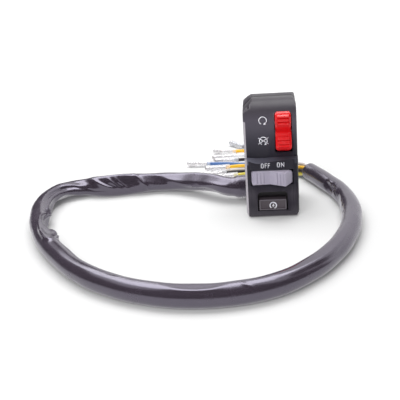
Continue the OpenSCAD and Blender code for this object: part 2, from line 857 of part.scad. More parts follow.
// Closed tube along a route, with one ring of points for each point of the route
module sweep(route, radii, sides, up = [0, 0, 1]) {
  last = len(route) - 1;
  points = [for (i = [0:last]) each ring(route, radii, sides, up, i)];
  skin = [for (i = [0:last - 1], k = [0:sides - 1])
    let (a = i * sides + k, b = i * sides + (k + 1) % sides)
    each [[a, a + sides, b], [b, a + sides, b + sides]]];
  start_cap = [for (k = [0:sides - 1]) k];
  end_cap = [for (k = [sides - 1:-1:0]) last * sides + k];
  polyhedron(points, concat([start_cap], skin, [end_cap]));
}

module harness_sleeve() color("dimgray") {
  last = len(sleeve_route) - 1;
  radii = [for (i = [0:last])
    (mouth_d + (sleeve_d - mouth_d) * min(1, (last - i) / mouth_taper)) / 2];
  route = [for (i = [0:last])
    [sleeve_route[i][0], sleeve_route[i][1], sleeve_route[i][2] + radii[i] - housing_drop]];
  sweep(route, radii, sleeve_sides);
}

function on_table(route) = [for (p = route) [p[0], p[1], p[2] - housing_drop]];

module harness_wire(i) color(wire_colors[i]) {
  route = on_table(wire_routes[i]);
  sweep(route, [for (p = route) wire_d / 2], wire_sides);
}

// Children on +Z at the end of a wire, pointing the way that the wire runs
module at_wire_end(i) {
  route = on_table(wire_routes[i]);
  last = len(route) - 1;
  ahead = heading(route, last);
  translate(route[last]) rotate([0, 90, atan2(ahead[1], ahead[0])]) children();
}

module bullet_terminals() color("lightgray") {
  for (i = [0:len(wire_routes) - 1]) at_wire_end(i) {
    nose_z = terminal_l - terminal_r;
    cylinder(h = crimp_l, r = crimp_r);
    cylinder(h = neck_l, r = neck_r);
    translate([0, 0, barrel_at]) cylinder(h = nose_z - barrel_at, r = terminal_r);
    translate([0, 0, nose_z]) sphere(terminal_r);
  }
}

module clear_sleeves() color("white", 0.4) {
  for (i = [0:len(wire_routes) - 1]) at_wire_end(i)
    translate([0, 0, -clear_overlap]) difference() {
      cylinder(h = clear_l, r = clear_d / 2);
      translate([0, 0, -over]) cylinder(h = clear_l + 2 * over, r = terminal_r + clear_gap);
    }
}

front_housing();
rear_housing();
clamp_screws();
thread_inserts();
kill_rocker();
kill_pivot_pin();
kill_base();
kill_slider();
kill_moving_contact();
kill_fixed_contacts();
kill_detent_spring();
light_rocker();
light_pivot_pin();
light_base();
light_slider();
light_moving_contact();
light_fixed_contacts();
light_detent_spring();
starter_button();
starter_base();
starter_spring();
starter_bridge();
starter_clip();
starter_contacts();
base_screws();
cable_grommet();
harness_sleeve();
harness_wire(0);  // wire_green_yellow
harness_wire(1);  // wire_black_front
harness_wire(2);  // wire_yellow_front
harness_wire(3);  // wire_blue
harness_wire(4);  // wire_black_back
harness_wire(5);  // wire_white
harness_wire(6);  // wire_yellow_back
harness_wire(7);  // wire_grey
bullet_terminals();
clear_sleeves();
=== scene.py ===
"""Looks of a handlebar switch cluster with its harness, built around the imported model."""
import json
import math
import bmesh
import bpy
import numpy as np
from mathutils import Matrix, Vector, noise


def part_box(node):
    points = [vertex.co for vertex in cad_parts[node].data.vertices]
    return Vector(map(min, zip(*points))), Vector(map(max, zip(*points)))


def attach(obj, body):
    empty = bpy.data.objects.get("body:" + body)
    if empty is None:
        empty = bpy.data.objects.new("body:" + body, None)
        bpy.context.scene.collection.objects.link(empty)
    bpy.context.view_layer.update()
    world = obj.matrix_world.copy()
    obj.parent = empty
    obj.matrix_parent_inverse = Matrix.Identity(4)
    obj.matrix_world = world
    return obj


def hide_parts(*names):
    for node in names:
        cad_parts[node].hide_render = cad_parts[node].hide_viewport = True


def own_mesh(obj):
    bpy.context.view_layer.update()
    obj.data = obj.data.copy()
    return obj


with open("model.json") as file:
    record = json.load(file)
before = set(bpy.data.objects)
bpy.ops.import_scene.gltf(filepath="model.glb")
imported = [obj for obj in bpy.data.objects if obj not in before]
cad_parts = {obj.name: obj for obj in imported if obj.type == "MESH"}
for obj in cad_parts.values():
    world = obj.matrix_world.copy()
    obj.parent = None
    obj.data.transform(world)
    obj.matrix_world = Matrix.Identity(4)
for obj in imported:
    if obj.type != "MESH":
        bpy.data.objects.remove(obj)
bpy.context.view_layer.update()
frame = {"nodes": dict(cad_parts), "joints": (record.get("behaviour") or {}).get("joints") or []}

MM = 0.001
UP = Vector((0, 0, 1))
scene = bpy.context.scene
nodes = frame["nodes"]
joints = {joint["name"]: joint for joint in frame["joints"]}

# Places taken from the frame
front_low, front_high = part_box("front_housing")
FLOOR = front_low.z
LOWER_PANEL = front_low.y
UPPER_PANEL = -19 * MM
BUTTON_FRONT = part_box("starter_button")[0].y
KILL_PIVOT = Vector(joints["kill_tilt"]["pos_m"])
LIGHT_PIVOT = Vector(joints["light_tilt"]["pos_m"])


def add_object(name, data):
    made = bpy.data.objects.new(name, data)
    scene.collection.objects.link(made)
    return made


# Camera

def make_camera():
    eye = Vector((-3.94, -505.2, 153.9)) * MM
    down, turn, roll = (math.radians(angle) for angle in (20, -4.78, 4))
    ahead = Vector((math.sin(turn) * math.cos(down), math.cos(turn) * math.cos(down), -math.sin(down)))
    level = Vector((math.cos(turn), -math.sin(turn), 0))
    above = level.cross(ahead)
    right = math.cos(roll) * level - math.sin(roll) * above
    top = math.sin(roll) * level + math.cos(roll) * above
    data = bpy.data.cameras.new("camera")
    data.sensor_width = 36
    data.lens = 75.87
    data.clip_start = 0.01
    camera = add_object("camera", data)
    camera.matrix_world = Matrix.Translation(eye) @ Matrix((right, top, -ahead)).transposed().to_4x4()
    scene.camera = camera


make_camera()


# Colours and shader nodes

WHITE = (1, 1, 1, 1)


def srgb(red, green, blue):
    """A colour as it looks on screen, from 0 to 255, as the linear colour that shaders take."""
    def linear(value):
        share = value / 255
        return share / 12.92 if share <= 0.04045 else ((share + 0.055) / 1.055) ** 2.4
    return (linear(red), linear(green), linear(blue), 1)


def shader_node(tree, kind, settings=(), **inputs):
    """A new node with its settings and the values of its input sockets."""
    made = tree.nodes.new(kind)
    for name, value in dict(settings).items():
        setattr(made, name, value)
    for name, value in inputs.items():
        made.inputs[name.replace("_", " ")].default_value = value
    return made


def join(source, target):
    """Links an output to an input of the same node tree."""
    target.id_data.links.new(source, target)


def feed(value, socket):
    """Gives an input a constant or the output of another node."""
    if isinstance(value, bpy.types.NodeSocket):
        join(value, socket)
    else:
        socket.default_value = value


def calculate(tree, operation, *values):
    """Result of a Math node on sockets or numbers."""
    made = shader_node(tree, "ShaderNodeMath", {"operation": operation})
    for value, socket in zip(values, made.inputs):
        feed(value, socket)
    return made.outputs[0]


def blend_colors(tree, share, first, second):
    """Colour between two others; each is a colour or a socket."""
    mix = shader_node(tree, "ShaderNodeMix", {"data_type": "RGBA"})
    for value, place in ((share, 0), (first, 6), (second, 7)):
        feed(value, mix.inputs[place])
    return mix.outputs[2]


def spread_value(tree, value, low, high, start=0.0, end=1.0, kind="LINEAR"):
    """Value from low to high as another goes from start to end."""
    ranged = shader_node(tree, "ShaderNodeMapRange", {"interpolation_type": kind},
                         From_Min=start, From_Max=end, To_Min=low, To_Max=high)
    join(value, ranged.inputs["Value"])
    return ranged.outputs["Result"]


def effect_group(name, amount, usual, outputs):
    """A node group that takes places and an amount, with the sockets of its two end nodes."""
    tree = bpy.data.node_groups.new(name, "ShaderNodeTree")
    tree.interface.new_socket("Vector", in_out="INPUT", socket_type="NodeSocketVector")
    tree.interface.new_socket(amount, in_out="INPUT", socket_type="NodeSocketFloat").default_value = usual
    for title in outputs:
        tree.interface.new_socket(title, in_out="OUTPUT", socket_type="NodeSocketFloat")
    return tree, tree.nodes.new("NodeGroupInput").outputs, tree.nodes.new("NodeGroupOutput").inputs


def make_moulded_grain():
    """Fine leathery grain of a moulded surface."""
    tree, given, result = effect_group("moulded_grain", "Scale", 3000.0, ["Height"])
    cells = shader_node(tree, "ShaderNodeTexVoronoi", {"feature": "SMOOTH_F1"}, Smoothness=0.6)
    cloud = shader_node(tree, "ShaderNodeTexNoise", Detail=4.0)
    for texture in (cells, cloud):
        join(given["Vector"], texture.inputs["Vector"])
        join(given["Scale"], texture.inputs["Scale"])
    both = calculate(tree, "MULTIPLY_ADD", cells.outputs["Distance"], 0.6, cloud.outputs["Fac"])
    join(both, result["Height"])
    return tree


def make_handling_marks():
    """Broad smudges and thin scratches left by handling."""
    tree, given, result = effect_group("handling_marks", "Scale", 60.0, ["Smudge", "Scratch"])
    smudge = shader_node(tree, "ShaderNodeTexNoise", Detail=3.0, Roughness=0.55, Distortion=0.6)
    scratch = shader_node(tree, "ShaderNodeTexNoise", Detail=2.0)
    stretch = shader_node(tree, "ShaderNodeMapping", Rotation=(0.4, 0.7, 0.2), Scale=(1, 14, 14))
    join(given["Vector"], smudge.inputs["Vector"])
    join(given["Vector"], stretch.inputs["Vector"])
    join(stretch.outputs["Vector"], scratch.inputs["Vector"])
    for texture in (smudge, scratch):
        join(given["Scale"], texture.inputs["Scale"])
    smudged = spread_value(tree, smudge.outputs["Fac"], 0, 1, 0.4, 0.68, "SMOOTHSTEP")
    join(smudged, result["Smudge"])
    join(spread_value(tree, scratch.outputs["Fac"], 0, 1, 0.63, 0.7), result["Scratch"])
    return tree


def make_drawn_lines():
    """Fine lines along an extruded or drawn piece; U runs along it and V around it."""
    tree, given, result = effect_group("drawn_lines", "Around", 40.0, ["Height"])
    stretch = shader_node(tree, "ShaderNodeMapping", Scale=(0.02, 1, 1))
    lines = shader_node(tree, "ShaderNodeTexNoise", Detail=5.0, Roughness=0.6)
    join(given["Vector"], stretch.inputs["Vector"])
    join(stretch.outputs["Vector"], lines.inputs["Vector"])
    join(given["Around"], lines.inputs["Scale"])
    join(lines.outputs["Fac"], result["Height"])
    return tree


MOULDED_GRAIN = make_moulded_grain()
HANDLING_MARKS = make_handling_marks()
DRAWN_LINES = make_drawn_lines()


def place_effect(tree, group, vector, **inputs):
    made = shader_node(tree, "ShaderNodeGroup", {"node_tree": group}, **inputs)
    join(vector, made.inputs["Vector"])
    return made.outputs


def handling(tree, places, scale):
    return place_effect(tree, HANDLING_MARKS, places["Object"], Scale=scale)


def grain(tree, places, scale):
    return place_effect(tree, MOULDED_GRAIN, places["Object"], Scale=scale)["Height"]


def new_material(name):
    """A material with its shader and the places that its patterns read."""
    material = bpy.data.materials.new(name)
    material.use_nodes = True
    tree = material.node_tree
    return material, tree, tree.nodes["Principled BSDF"], shader_node(tree, "ShaderNodeTexCoord").outputs


def vary_surface(tree, shader, share, colors, roughness):
    """Lets colour and roughness go between two values each with one share."""
    join(blend_colors(tree, share, *colors), shader.inputs["Base Color"])
    join(spread_value(tree, share, *roughness), shader.inputs["Roughness"])


def add_relief(tree, shader, height, distance, strength=1.0):
    bump = shader_node(tree, "ShaderNodeBump", Strength=strength, Distance=distance)
    join(height, bump.inputs["Height"])
    join(bump.outputs["Normal"], shader.inputs["Normal"])


def moulded_plastic(name, color, rubbed, roughness, fineness=3000.0, relief=0.02 * MM):
    """Moulded plastic: fine grain, colour that varies with handling, and a gloss that follows it."""
    material, tree, shader, places = new_material(name)
    seen = handling(tree, places, 60.0)
    surface = grain(tree, places, fineness)
    vary_surface(tree, shader, seen["Smudge"], (color, rubbed), roughness)
    add_relief(tree, shader, surface, relief)
    return material


def split_places(tree, places):
    """Places across, back and up, each as a value."""
    split = shader_node(tree, "ShaderNodeSeparateXYZ")
    join(places["Object"], split.inputs["Vector"])
    return split.outputs


def within(tree, value, middle, reach):
    """1 where a value lies within reach of the middle, in millimetres."""
    return calculate(tree, "COMPARE", value, middle * MM, reach * MM)


def times(tree, *factors):
    total = factors[0]
    for factor in factors[1:]:
        total = calculate(tree, "MULTIPLY", total, factor)
    return total


HALF_HEIGHT = 35
# Painted highlight of the ledge, painted reflection of the left edges, painted shade of the starter's pocket
# and of the seam
LEDGE_HIGHLIGHT_TONE = srgb(92, 92, 104)
LEFT_EDGE_REFLECTION_TONE = srgb(170, 165, 172)
POCKET_SHADE_TONE = srgb(16, 14, 15)
SEAM_SHADE_TONE = srgb(20, 18, 20)


def shade_painted_plastic(name, tones, roughness):
    """Moulded plastic of the housing: its tone goes by height, as painted light and shade.

    The ledge has a painted highlight, the left front edges a painted reflection, the starter's pocket painted
    black shade and the seam painted shade.
    """
    material, tree, shader, places = new_material(name)
    seen = handling(tree, places, 60.0)
    surface = grain(tree, places, 3000.0)
    across, back, height = split_places(tree, places)
    # Tone by height: painted light and shade, palest high on the upper panel
    ramp = shader_node(tree, "ShaderNodeValToRGB")
    stops = ramp.color_ramp.elements
    while len(stops) < len(tones):
        stops.new(1)
    for stop, (level, tone) in zip(stops, tones):
        stop.position = (level + HALF_HEIGHT) / (2 * HALF_HEIGHT)
        stop.color = tone
    raised = spread_value(tree, height, 0, 1, -HALF_HEIGHT * MM, HALF_HEIGHT * MM)
    join(raised, ramp.inputs["Fac"])
    # Painted highlight on the ledge, strongest at the left and fading to the right
    fade = spread_value(tree, across, 0.25, 1, 12 * MM, -12 * MM)
    ledge = times(tree, within(tree, back, -21.6, 2.3), within(tree, height, 1.1, 2.3), fade)
    painted_tone = blend_colors(tree, ledge, ramp.outputs["Color"], LEDGE_HIGHLIGHT_TONE)
    # Painted reflection on the left front edges of both panels
    for front, middle, reach in ((LOWER_PANEL / MM, -16, 18), (UPPER_PANEL / MM, 13, 11)):
        edge = times(tree, within(tree, across, -16.2, 1.5), within(tree, back, front + 0.6, 1.9),
                     within(tree, height, middle, reach))
        painted_tone = blend_colors(tree, edge, painted_tone, LEFT_EDGE_REFLECTION_TONE)
    # Painted black shade inside the starter's pocket
    pocket = times(tree, within(tree, across, 0, 12.5), within(tree, back, LOWER_PANEL / MM + 9, 8),
                   within(tree, height, -26, 6.5))
    painted_tone = blend_colors(tree, pocket, painted_tone, POCKET_SHADE_TONE)
    # Painted shade along the seam between the halves
    seamed = blend_colors(tree, within(tree, back, 0, 1.1), painted_tone, SEAM_SHADE_TONE)
    join(seamed, shader.inputs["Base Color"])
    join(spread_value(tree, seen["Smudge"], *roughness), shader.inputs["Roughness"])
    add_relief(tree, shader, surface, 0.02 * MM)
    shader.inputs["IOR"].default_value = 1.45
    shader.inputs["Specular IOR Level"].default_value = 0.3
    return material


def rimmed_plastic(name, color, rim, front, roughness):
    """Plastic of a dished button whose rim is paler at its front."""
    material = moulded_plastic(name, color, color, roughness)
    tree = material.node_tree
    places = shader_node(tree, "ShaderNodeTexCoord").outputs
    # The front of the rim is paler
    rubbed = within(tree, split_places(tree, places)["Y"], front / MM, 0.3)
    join(blend_colors(tree, rubbed, color, rim), tree.nodes["Principled BSDF"].inputs["Base Color"])
    return material


def bare_metal(name, color, tarnish, roughness):
    """Bare metal with a fine grain and patches of tarnish."""
    material, tree, shader, places = new_material(name)
    seen = handling(tree, places, 220.0)
    surface = grain(tree, places, 900.0)
    join(blend_colors(tree, seen["Smudge"], color, tarnish), shader.inputs["Base Color"])
    join(spread_value(tree, seen["Scratch"], *roughness), shader.inputs["Roughness"])
    add_relief(tree, shader, surface, 0.01 * MM, 0.6)
    shader.inputs["Metallic"].default_value = 1
    return material


def drawn_plastic(name, color, shaded, roughness, ior=1.5):
    """Extruded plastic of a cord: lines along it, with softly varying colour."""
    material, tree, shader, places = new_material(name)
    seen = handling(tree, places, 90.0)
    lines = place_effect(tree, DRAWN_LINES, places["UV"], Around=40.0)
    vary_surface(tree, shader, seen["Smudge"], (color, shaded), roughness)
    add_relief(tree, shader, lines["Height"], 0.05 * MM, 0.5)
    shader.inputs["IOR"].default_value = ior
    return material


def soft_sleeve(name, color, shaded, roughness):
    """Soft PVC of the harness sleeve: a lilac gloss and a bloom that shows at a slant."""
    material = drawn_plastic(name, color, shaded, roughness, ior=2.0)
    shader = material.node_tree.nodes["Principled BSDF"]
    shader.inputs["Specular Tint"].default_value = (0.86, 0.82, 1, 1)
    shader.inputs["Sheen Weight"].default_value = 0.08
    shader.inputs["Sheen Roughness"].default_value = 0.4
    shader.inputs["Sheen Tint"].default_value = (0.82, 0.74, 0.95, 1)
    return material


def striped_plastic(name, color, stripe, roughness):
    """Extruded plastic with one broad stripe along the cord that turns slowly round it."""
    material, tree, shader, places = new_material(name)
    turned = shader_node(tree, "ShaderNodeTexWave", {"bands_direction": "Y", "wave_profile": "SIN"},
                         Scale=0.314, Distortion=0.4, Detail=0.0)
    lines = place_effect(tree, DRAWN_LINES, places["UV"], Around=30.0)
    join(places["UV"], turned.inputs["Vector"])
    edge = spread_value(tree, turned.outputs["Fac"], 0, 1, 0.45, 0.55)
    join(blend_colors(tree, edge, color, stripe), shader.inputs["Base Color"])
    join(spread_value(tree, lines["Height"], *roughness), shader.inputs["Roughness"])
    add_relief(tree, shader, lines["Height"], 0.03 * MM, 0.5)
    return material


def clear_plastic(name):
    """Soft clear sleeve: a thin milky film that covers more where it is rubbed."""
    material, tree, shader, places = new_material(name)
    seen = handling(tree, places, 300.0)
    vary_surface(tree, shader, seen["Smudge"], (srgb(252, 252, 253), srgb(240, 240, 243)), (0.2, 0.4))
    join(spread_value(tree, seen["Smudge"], 0.2, 0.36), shader.inputs["Alpha"])
    return material


def printed_ink(name):
    """White pad-printed ink with slightly uneven cover."""
    material, tree, shader, places = new_material(name)
    seen = handling(tree, places, 900.0)
    vary_surface(tree, shader, seen["Smudge"], (srgb(250, 250, 255), srgb(215, 215, 228)), (0.45, 0.6))
    return material


# Height in millimetres and tone of the housing there; the tones are painted light and shade
HOUSING_PAINTED_TONES = [
    (-35, srgb(66, 62, 69)), (-27, srgb(46, 43, 51)), (-20, srgb(60, 56, 64)), (-13, srgb(38, 36, 45)),
    (2, srgb(37, 35, 44)), (12, srgb(54, 52, 62)), (20, srgb(74, 71, 81)), (25, srgb(80, 76, 86)),
    (30, srgb(62, 58, 65)), (35, srgb(54, 50, 57))]
HOUSING_PLASTIC = shade_painted_plastic("housing_plastic", HOUSING_PAINTED_TONES, (0.36, 0.46))
BUTTON_PLASTIC = rimmed_plastic("button_plastic", srgb(72, 64, 70), srgb(96, 90, 97),
                                BUTTON_FRONT, (0.4, 0.5))
RED_PLASTIC = moulded_plastic("red_plastic", srgb(208, 12, 18), srgb(216, 20, 26), (0.24, 0.32),
                              relief=0.006 * MM)
GREY_PLASTIC = moulded_plastic("grey_plastic", srgb(165, 159, 176), srgb(156, 150, 168), (0.34, 0.46),
                               relief=0.01 * MM)
BLACK_PLASTIC = moulded_plastic("black_plastic", srgb(30, 27, 30), srgb(38, 34, 38), (0.4, 0.55))
NATURAL_NYLON = moulded_plastic("natural_nylon", srgb(226, 220, 204), srgb(214, 206, 186), (0.4, 0.55))
RUBBER = moulded_plastic("rubber", srgb(34, 32, 36), srgb(42, 40, 44), (0.55, 0.75), fineness=1600.0)
STEEL = bare_metal("steel", srgb(196, 198, 202), srgb(168, 170, 176), (0.22, 0.4))
SPRING_STEEL = bare_metal("spring_steel", srgb(176, 180, 190), srgb(150, 152, 164), (0.25, 0.42))
BRASS = bare_metal("brass", srgb(212, 178, 96), srgb(186, 150, 76), (0.22, 0.4))
COPPER = bare_metal("copper", srgb(206, 134, 96), srgb(176, 104, 74), (0.24, 0.42))
TINNED_METAL = bare_metal("tinned_metal", srgb(240, 236, 238), srgb(226, 220, 222), (0.42, 0.56))
PVC_SLEEVE = soft_sleeve("pvc_sleeve", srgb(55, 48, 57), srgb(56, 48, 58), (0.2, 0.28))
CLEAR_PLASTIC = clear_plastic("clear_plastic")
WHITE_INK = printed_ink("white_ink")
STRIPED_WIRE = striped_plastic("wire_green_yellow", srgb(206, 190, 70), srgb(58, 92, 50), (0.3, 0.45))
WIRE_FINISHES = {"wire_green_yellow": STRIPED_WIRE}
WIRE_COLORS = {
    "wire_black": (srgb(38, 32, 36), srgb(50, 42, 46)),
    "wire_yellow": (srgb(242, 190, 46), srgb(232, 172, 40)),
    "wire_blue": (srgb(66, 104, 162), srgb(98, 134, 184)),
    "wire_white": (srgb(244, 242, 246), srgb(226, 224, 230)),
    "wire_grey": (srgb(150, 148, 156), srgb(132, 130, 138))}
for finish, (color, shaded) in WIRE_COLORS.items():
    WIRE_FINISHES[finish] = drawn_plastic(finish, color, shaded, (0.3, 0.42))


# Making pieces

def finish_piece(name, mesh, material, body, replaced=(), sharp=35):
    """An object of the finished mesh, shaded smooth up to the sharp angle, on its body."""
    mesh.name = name
    mesh.materials.clear()
    mesh.materials.append(material)
    mesh.shade_smooth()
    mesh.set_sharp_from_angle(angle=math.radians(sharp))
    piece = add_object(name, mesh)
    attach(piece, body)
    if replaced:
        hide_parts(*replaced)
    return piece


def to_mesh(bm):
    mesh = bpy.data.meshes.new("mesh")
    bm.to_mesh(mesh)
    bm.free()
    return mesh


def round_edges(bm, edges, width, segments, clamp=False):
    bmesh.ops.bevel(bm, geom=edges, offset=width, offset_type="OFFSET", segments=segments, profile=0.5,
                    affect="EDGES", material=-1, clamp_overlap=clamp)


# Cords

def smooth_curve(points):
    """A curve object's data: one open spline that runs smoothly through the points."""
    data = bpy.data.curves.new("route", "CURVE")
    data.dimensions = "3D"
    data.resolution_u = 12
    data.twist_mode = "Z_UP"
    spline = data.splines.new("BEZIER")
    spline.bezier_points.add(len(points) - 1)
    for knot, point in zip(spline.bezier_points, points):
        knot.co = point
        knot.handle_left_type = "AUTO"
        knot.handle_right_type = "AUTO"
    return data


def curve_mesh(data):
    """The mesh that a curve makes."""
    holder = bpy.data.objects.new("holder", data)
    mesh = bpy.data.meshes.new_from_object(holder)
    bpy.data.objects.remove(holder)
    return mesh


def curve_line(data):
    """Points down the middle of a curve."""
    mesh = curve_mesh(data)
    line = np.array([vertex.co for vertex in mesh.vertices])
    bpy.data.meshes.remove(mesh)
    return line


def even_line(line, step):
    """The same line with its points evenly spaced, and the length at each."""
    along = np.concatenate([[0], np.cumsum(np.linalg.norm(np.diff(line, axis=0), axis=1))])
    at = np.linspace(0, along[-1], round(along[-1] / step) + 1)
    return np.stack([np.interp(at, along, line[:, axis]) for axis in range(3)], axis=1), at


SLEEVE_D = 0.0115
SLEEVE_R = 6.1 * MM
FLARE = 1.1
FLARE_START = 5
FLARE_RUN = 3.5
MOUTH_R = 5.7 * MM
MOUTH_TAPER = 150
WAVE_HEIGHT = 0.22
WAVE_LENGTH = 17
FACET_REACH = 78
FACET_SOFTNESS = 0.12
SLEEVE_WALL = 0.6 * MM
MOUTH_DEPTH = 15 * MM
RING_STEP = 0.75 * MM
TUBE_SIDES = 64
LEAD_IN = 3.6
# Sleeve route in millimetres: x, y and height of the underside above the floor
SLEEVE_ROUTE = [
    (-16.4, 9.5, 3.55), (-27, 9.5, 3.55), (-37, 15.5, 4.2), (-47, 23, 3.2), (-58, 29.5, 1.6),
    (-73, 33.5, 0.8), (-93, 31, 1), (-111, 28.5, 1), (-127, 30.5, 0.2), (-139, 24.5, 0), (-145.6, 11, 0),
    (-147.4, -5, 0), (-144.8, -23.8, 0), (-139.2, -43.4, 0), (-130.2, -64.7, 0), (-118, -85.8, 0),
    (-103.7, -105.8, 0), (-86, -122, 0), (-64, -134, 0), (-42, -139, 0), (-19, -137, 0), (0, -129, 0),
    (16, -114, 0), (29, -95, 0), (39, -72, 0), (45, -46, 0), (46, -20, 0), (42, 4, 0), (35.5, 22, 0),
    (30, 36, 0), (26.3, 44.2, 0)]
# Where the sleeve isn't round: middle, half length, angle of its longer side and how far that stands out
OVALS = [(90, 24, 0, 1.3), (119, 12, 90, 1.4), (236, 44, 80, 0.2)]
# Flat places pressed into the sleeve: middle, angle from the top, half length, depth,
# and degrees turned each millimetre
FACETS = [
    (28, -40, 34, 1.0, 0.0), (24, -140, 30, 0.9, 0.0), (66, -50, 12, 0.9, 2.0), (90, -44, 17, 1.7, 1.0),
    (113, -46, 13, 1.3, 2.0), (136, -148, 24, 2.8, 0.0), (150, -85, 16, 0.9, 0.0), (163, -95, 9, 1.0, 0.0),
    (196, -82, 17, 4.4, 0.0), (212, -22, 20, 1.5, 0.3), (236, -75, 10, 0.8, 0.0), (303, -12, 9, 0.4, 0.0),
    (345, 8, 17, 0.7, 0.0), (425, 5, 40, 0.5, 0.0), (516, -88, 14, 1.1, 0.0), (537, -78, 11, 1.6, 0.0)]
# Folds: height and width, then places along the sleeve with their angles; below 0 is a crease
FOLDS = [
    (0.6, 1.2, [(0, -88), (9, -72), (15, -75), (24, -96), (30, -108), (42, -90), (52, -66), (63, -44)]),
    (-0.5, 1.6, [(8, -100), (20, -112), (31, -128), (44, -110), (60, -75)]),
    (1.3, 0.9, [(98, -8), (93, -60), (88, -112)]), (1.2, 0.9, [(93.5, -8), (88.5, -62), (83, -118)]),
    (1.2, 0.9, [(106, -24), (100, -60), (93, -100)]), (1.3, 1.0, [(80, 4), (75, -62), (69, -130)]),
    (-0.7, 1.0, [(103, -18), (98, -52), (92, -88)]),
    (-1.4, 1.1, [(176, -42), (158, -32), (142, -34), (123, -60), (112, -85), (105, -105), (95, -110)]),
    (0.7, 1.5, [(170, -70), (155, -62), (140, -64), (126, -85)]),
    (1.6, 1.0, [(174, -42), (174, -70), (173, -105)]), (1.5, 1.0, [(189, -56), (180, -80), (173, -105)]),
    (0.4, 0.9, [(192, -6), (186, -35), (180, -62)]), (-0.7, 1.0, [(182, -30), (178, -60), (174, -85)]),
    (1.5, 1.2, [(208, -60), (214, -72), (218, -90)]), (1.3, 1.1, [(228, -50), (222, -68), (218, -90)]),
    (1.7, 1.2, [(198, 8), (210, 16), (218, 23), (229, 25), (233, 8), (232, -22)]),
    (-0.4, 1.4, [(200, 28), (214, 38), (228, 42)]), (0.4, 1.2, [(298, -10), (304, -2), (310, -4)]),
    (0.25, 1.1, [(330, 20), (338, 36), (346, 40), (354, 34), (360, 20)]),
    (0.5, 0.7, [(367, 10), (369, 30), (372, 45)]),
    (-0.7, 1.6, [(385, 40), (400, 46), (416, 55), (431, 60), (445, 48), (458, 36), (474, 24)]),
    (0.9, 0.8, [(542.5, -33), (533, -60), (523, -92)]), (0.7, 0.8, [(529, -42), (524.5, -64), (519, -90)]),
    (-0.7, 1.0, [(537, -35), (529, -60), (521, -88)]), (-0.7, 1.0, [(546, -45), (539, -75), (531, -105)]),
    (-0.5, 0.8, [(521, -38), (517, -62)]), (-0.5, 0.8, [(508, -46), (505, -64)]),
    (-0.4, 0.8, [(500, -50), (498, -66)]), (-0.4, 0.8, [(489, -54), (487, -70)])]


def swell(distance):
    """Smooth share: 1 in the middle and 0 from a distance of 1 on."""
    return np.clip(1 - distance ** 2, 0, None) ** 1.5


def soft_least(first, second):
    """The lesser of two values, with a soft change from one to the other."""
    total = np.exp(-first / FACET_SOFTNESS) + np.exp(-second / FACET_SOFTNESS)
    return -FACET_SOFTNESS * np.log(total)


def fold_height(place, arc, height, width, points):
    """Height of one fold at places along the sleeve and arcs round it, in millimetres."""
    ends = np.array([(at, math.radians(turn) * SLEEVE_R / MM) for at, turn in points])
    best = np.full_like(place, 1e6)
    share = np.zeros_like(place)
    for k, (first, second) in enumerate(zip(ends, ends[1:])):
        run = second - first
        along = np.clip(((place - first[0]) * run[0] + (arc - first[1]) * run[1]) / (run @ run), 0, 1)
        off = np.hypot(place - first[0] - along * run[0], arc - first[1] - along * run[1])
        nearer = off < best
        best = np.where(nearer, off, best)
        share = np.where(nearer, (k + along) / (len(ends) - 1), share)
    return height * np.exp(-(best / width) ** 1.4) * np.sin(np.pi * (0.06 + 0.88 * share))


def sleeve_radius(place, angle, length):
    """Radius of the sleeve's outside in millimetres, at places along it and angles from its top."""
    round_r = SLEEVE_R / MM - (SLEEVE_R - MOUTH_R) / MM * np.clip(1 - (length - place) / MOUTH_TAPER, 0, 1)
    radius = round_r.copy()
    for middle, half, turn, out in OVALS:
        radius += out * swell((place - middle) / half) * np.cos(2 * np.radians(angle - turn))
    waves = np.array([noise.noise((float(at) / WAVE_LENGTH, 0.3, 0.0)) for at in place[::TUBE_SIDES]])
    radius += WAVE_HEIGHT * np.repeat(waves, TUBE_SIDES)
    for middle, turn, half, depth, twist in FACETS:
        lean = (angle - turn - twist * (place - middle) + 180) % 360 - 180
        pressed = depth * swell((place - middle) / half)
        flat = (radius - pressed) / np.cos(np.radians(np.clip(lean, -FACET_REACH, FACET_REACH)))
        flat = np.where(abs(lean) < FACET_REACH, flat, 99)
        radius = np.where(pressed > 0.01, soft_least(radius, flat), radius)
    arc = np.radians(angle) * SLEEVE_R / MM
    for height, width, points in FOLDS:
        radius += fold_height(place, arc, height, width, points)
    steady = np.clip((place - 1) / 7, 0, 1) * np.clip((length - place) / 14, 0, 1)
    opened = np.clip((FLARE_START - place) / FLARE_RUN, 0, 1)
    flare = FLARE * opened ** 2 * (3 - 2 * opened)
    return round_r + (radius - round_r) * steady + np.clip(flare, 0, FLARE)


def lay_uv(mesh, along, around):
    """A UV map with U along a tube and V around it, from 0 to 1."""
    layer = mesh.uv_layers.new(name="UVMap")
    for polygon in mesh.polygons:
        turns = [around[mesh.loops[i].vertex_index] for i in polygon.loop_indices]
        crosses = max(turns) - min(turns) > 0.5
        for i, turn in zip(polygon.loop_indices, turns):
            past = crosses and turn < 0.5
            layer.data[i].uv = (along[mesh.loops[i].vertex_index], turn + 1 if past else turn)


def close_tube(mesh, mouth_end, ahead):
    """Gives the sleeve's mouth a wall with an inside, and closes the end in the housing."""
    bm = bmesh.new()
    bm.from_mesh(mesh)
    rims = [edge for edge in bm.edges if edge.is_boundary]
    lip = [edge for edge in rims if (edge.verts[0].co - mouth_end).length < 12 * MM]
    start = [edge for edge in rims if edge not in lip]
    bmesh.ops.holes_fill(bm, edges=start, sides=0)
    for inward, back in ((SLEEVE_WALL, 0), (0, MOUTH_DEPTH)):
        made = bmesh.ops.extrude_edge_only(bm, edges=lip)["geom"]
        moved = [part for part in made if isinstance(part, bmesh.types.BMVert)]
        lip = [part for part in made if isinstance(part, bmesh.types.BMEdge)]
        for vertex in moved:
            off = vertex.co - mouth_end
            vertex.co -= off.normalized() * inward + ahead * back
    lip = [edge for edge in lip if edge.is_boundary]
    bmesh.ops.holes_fill(bm, edges=lip, sides=0)
    bm.to_mesh(mesh)
    bm.free()


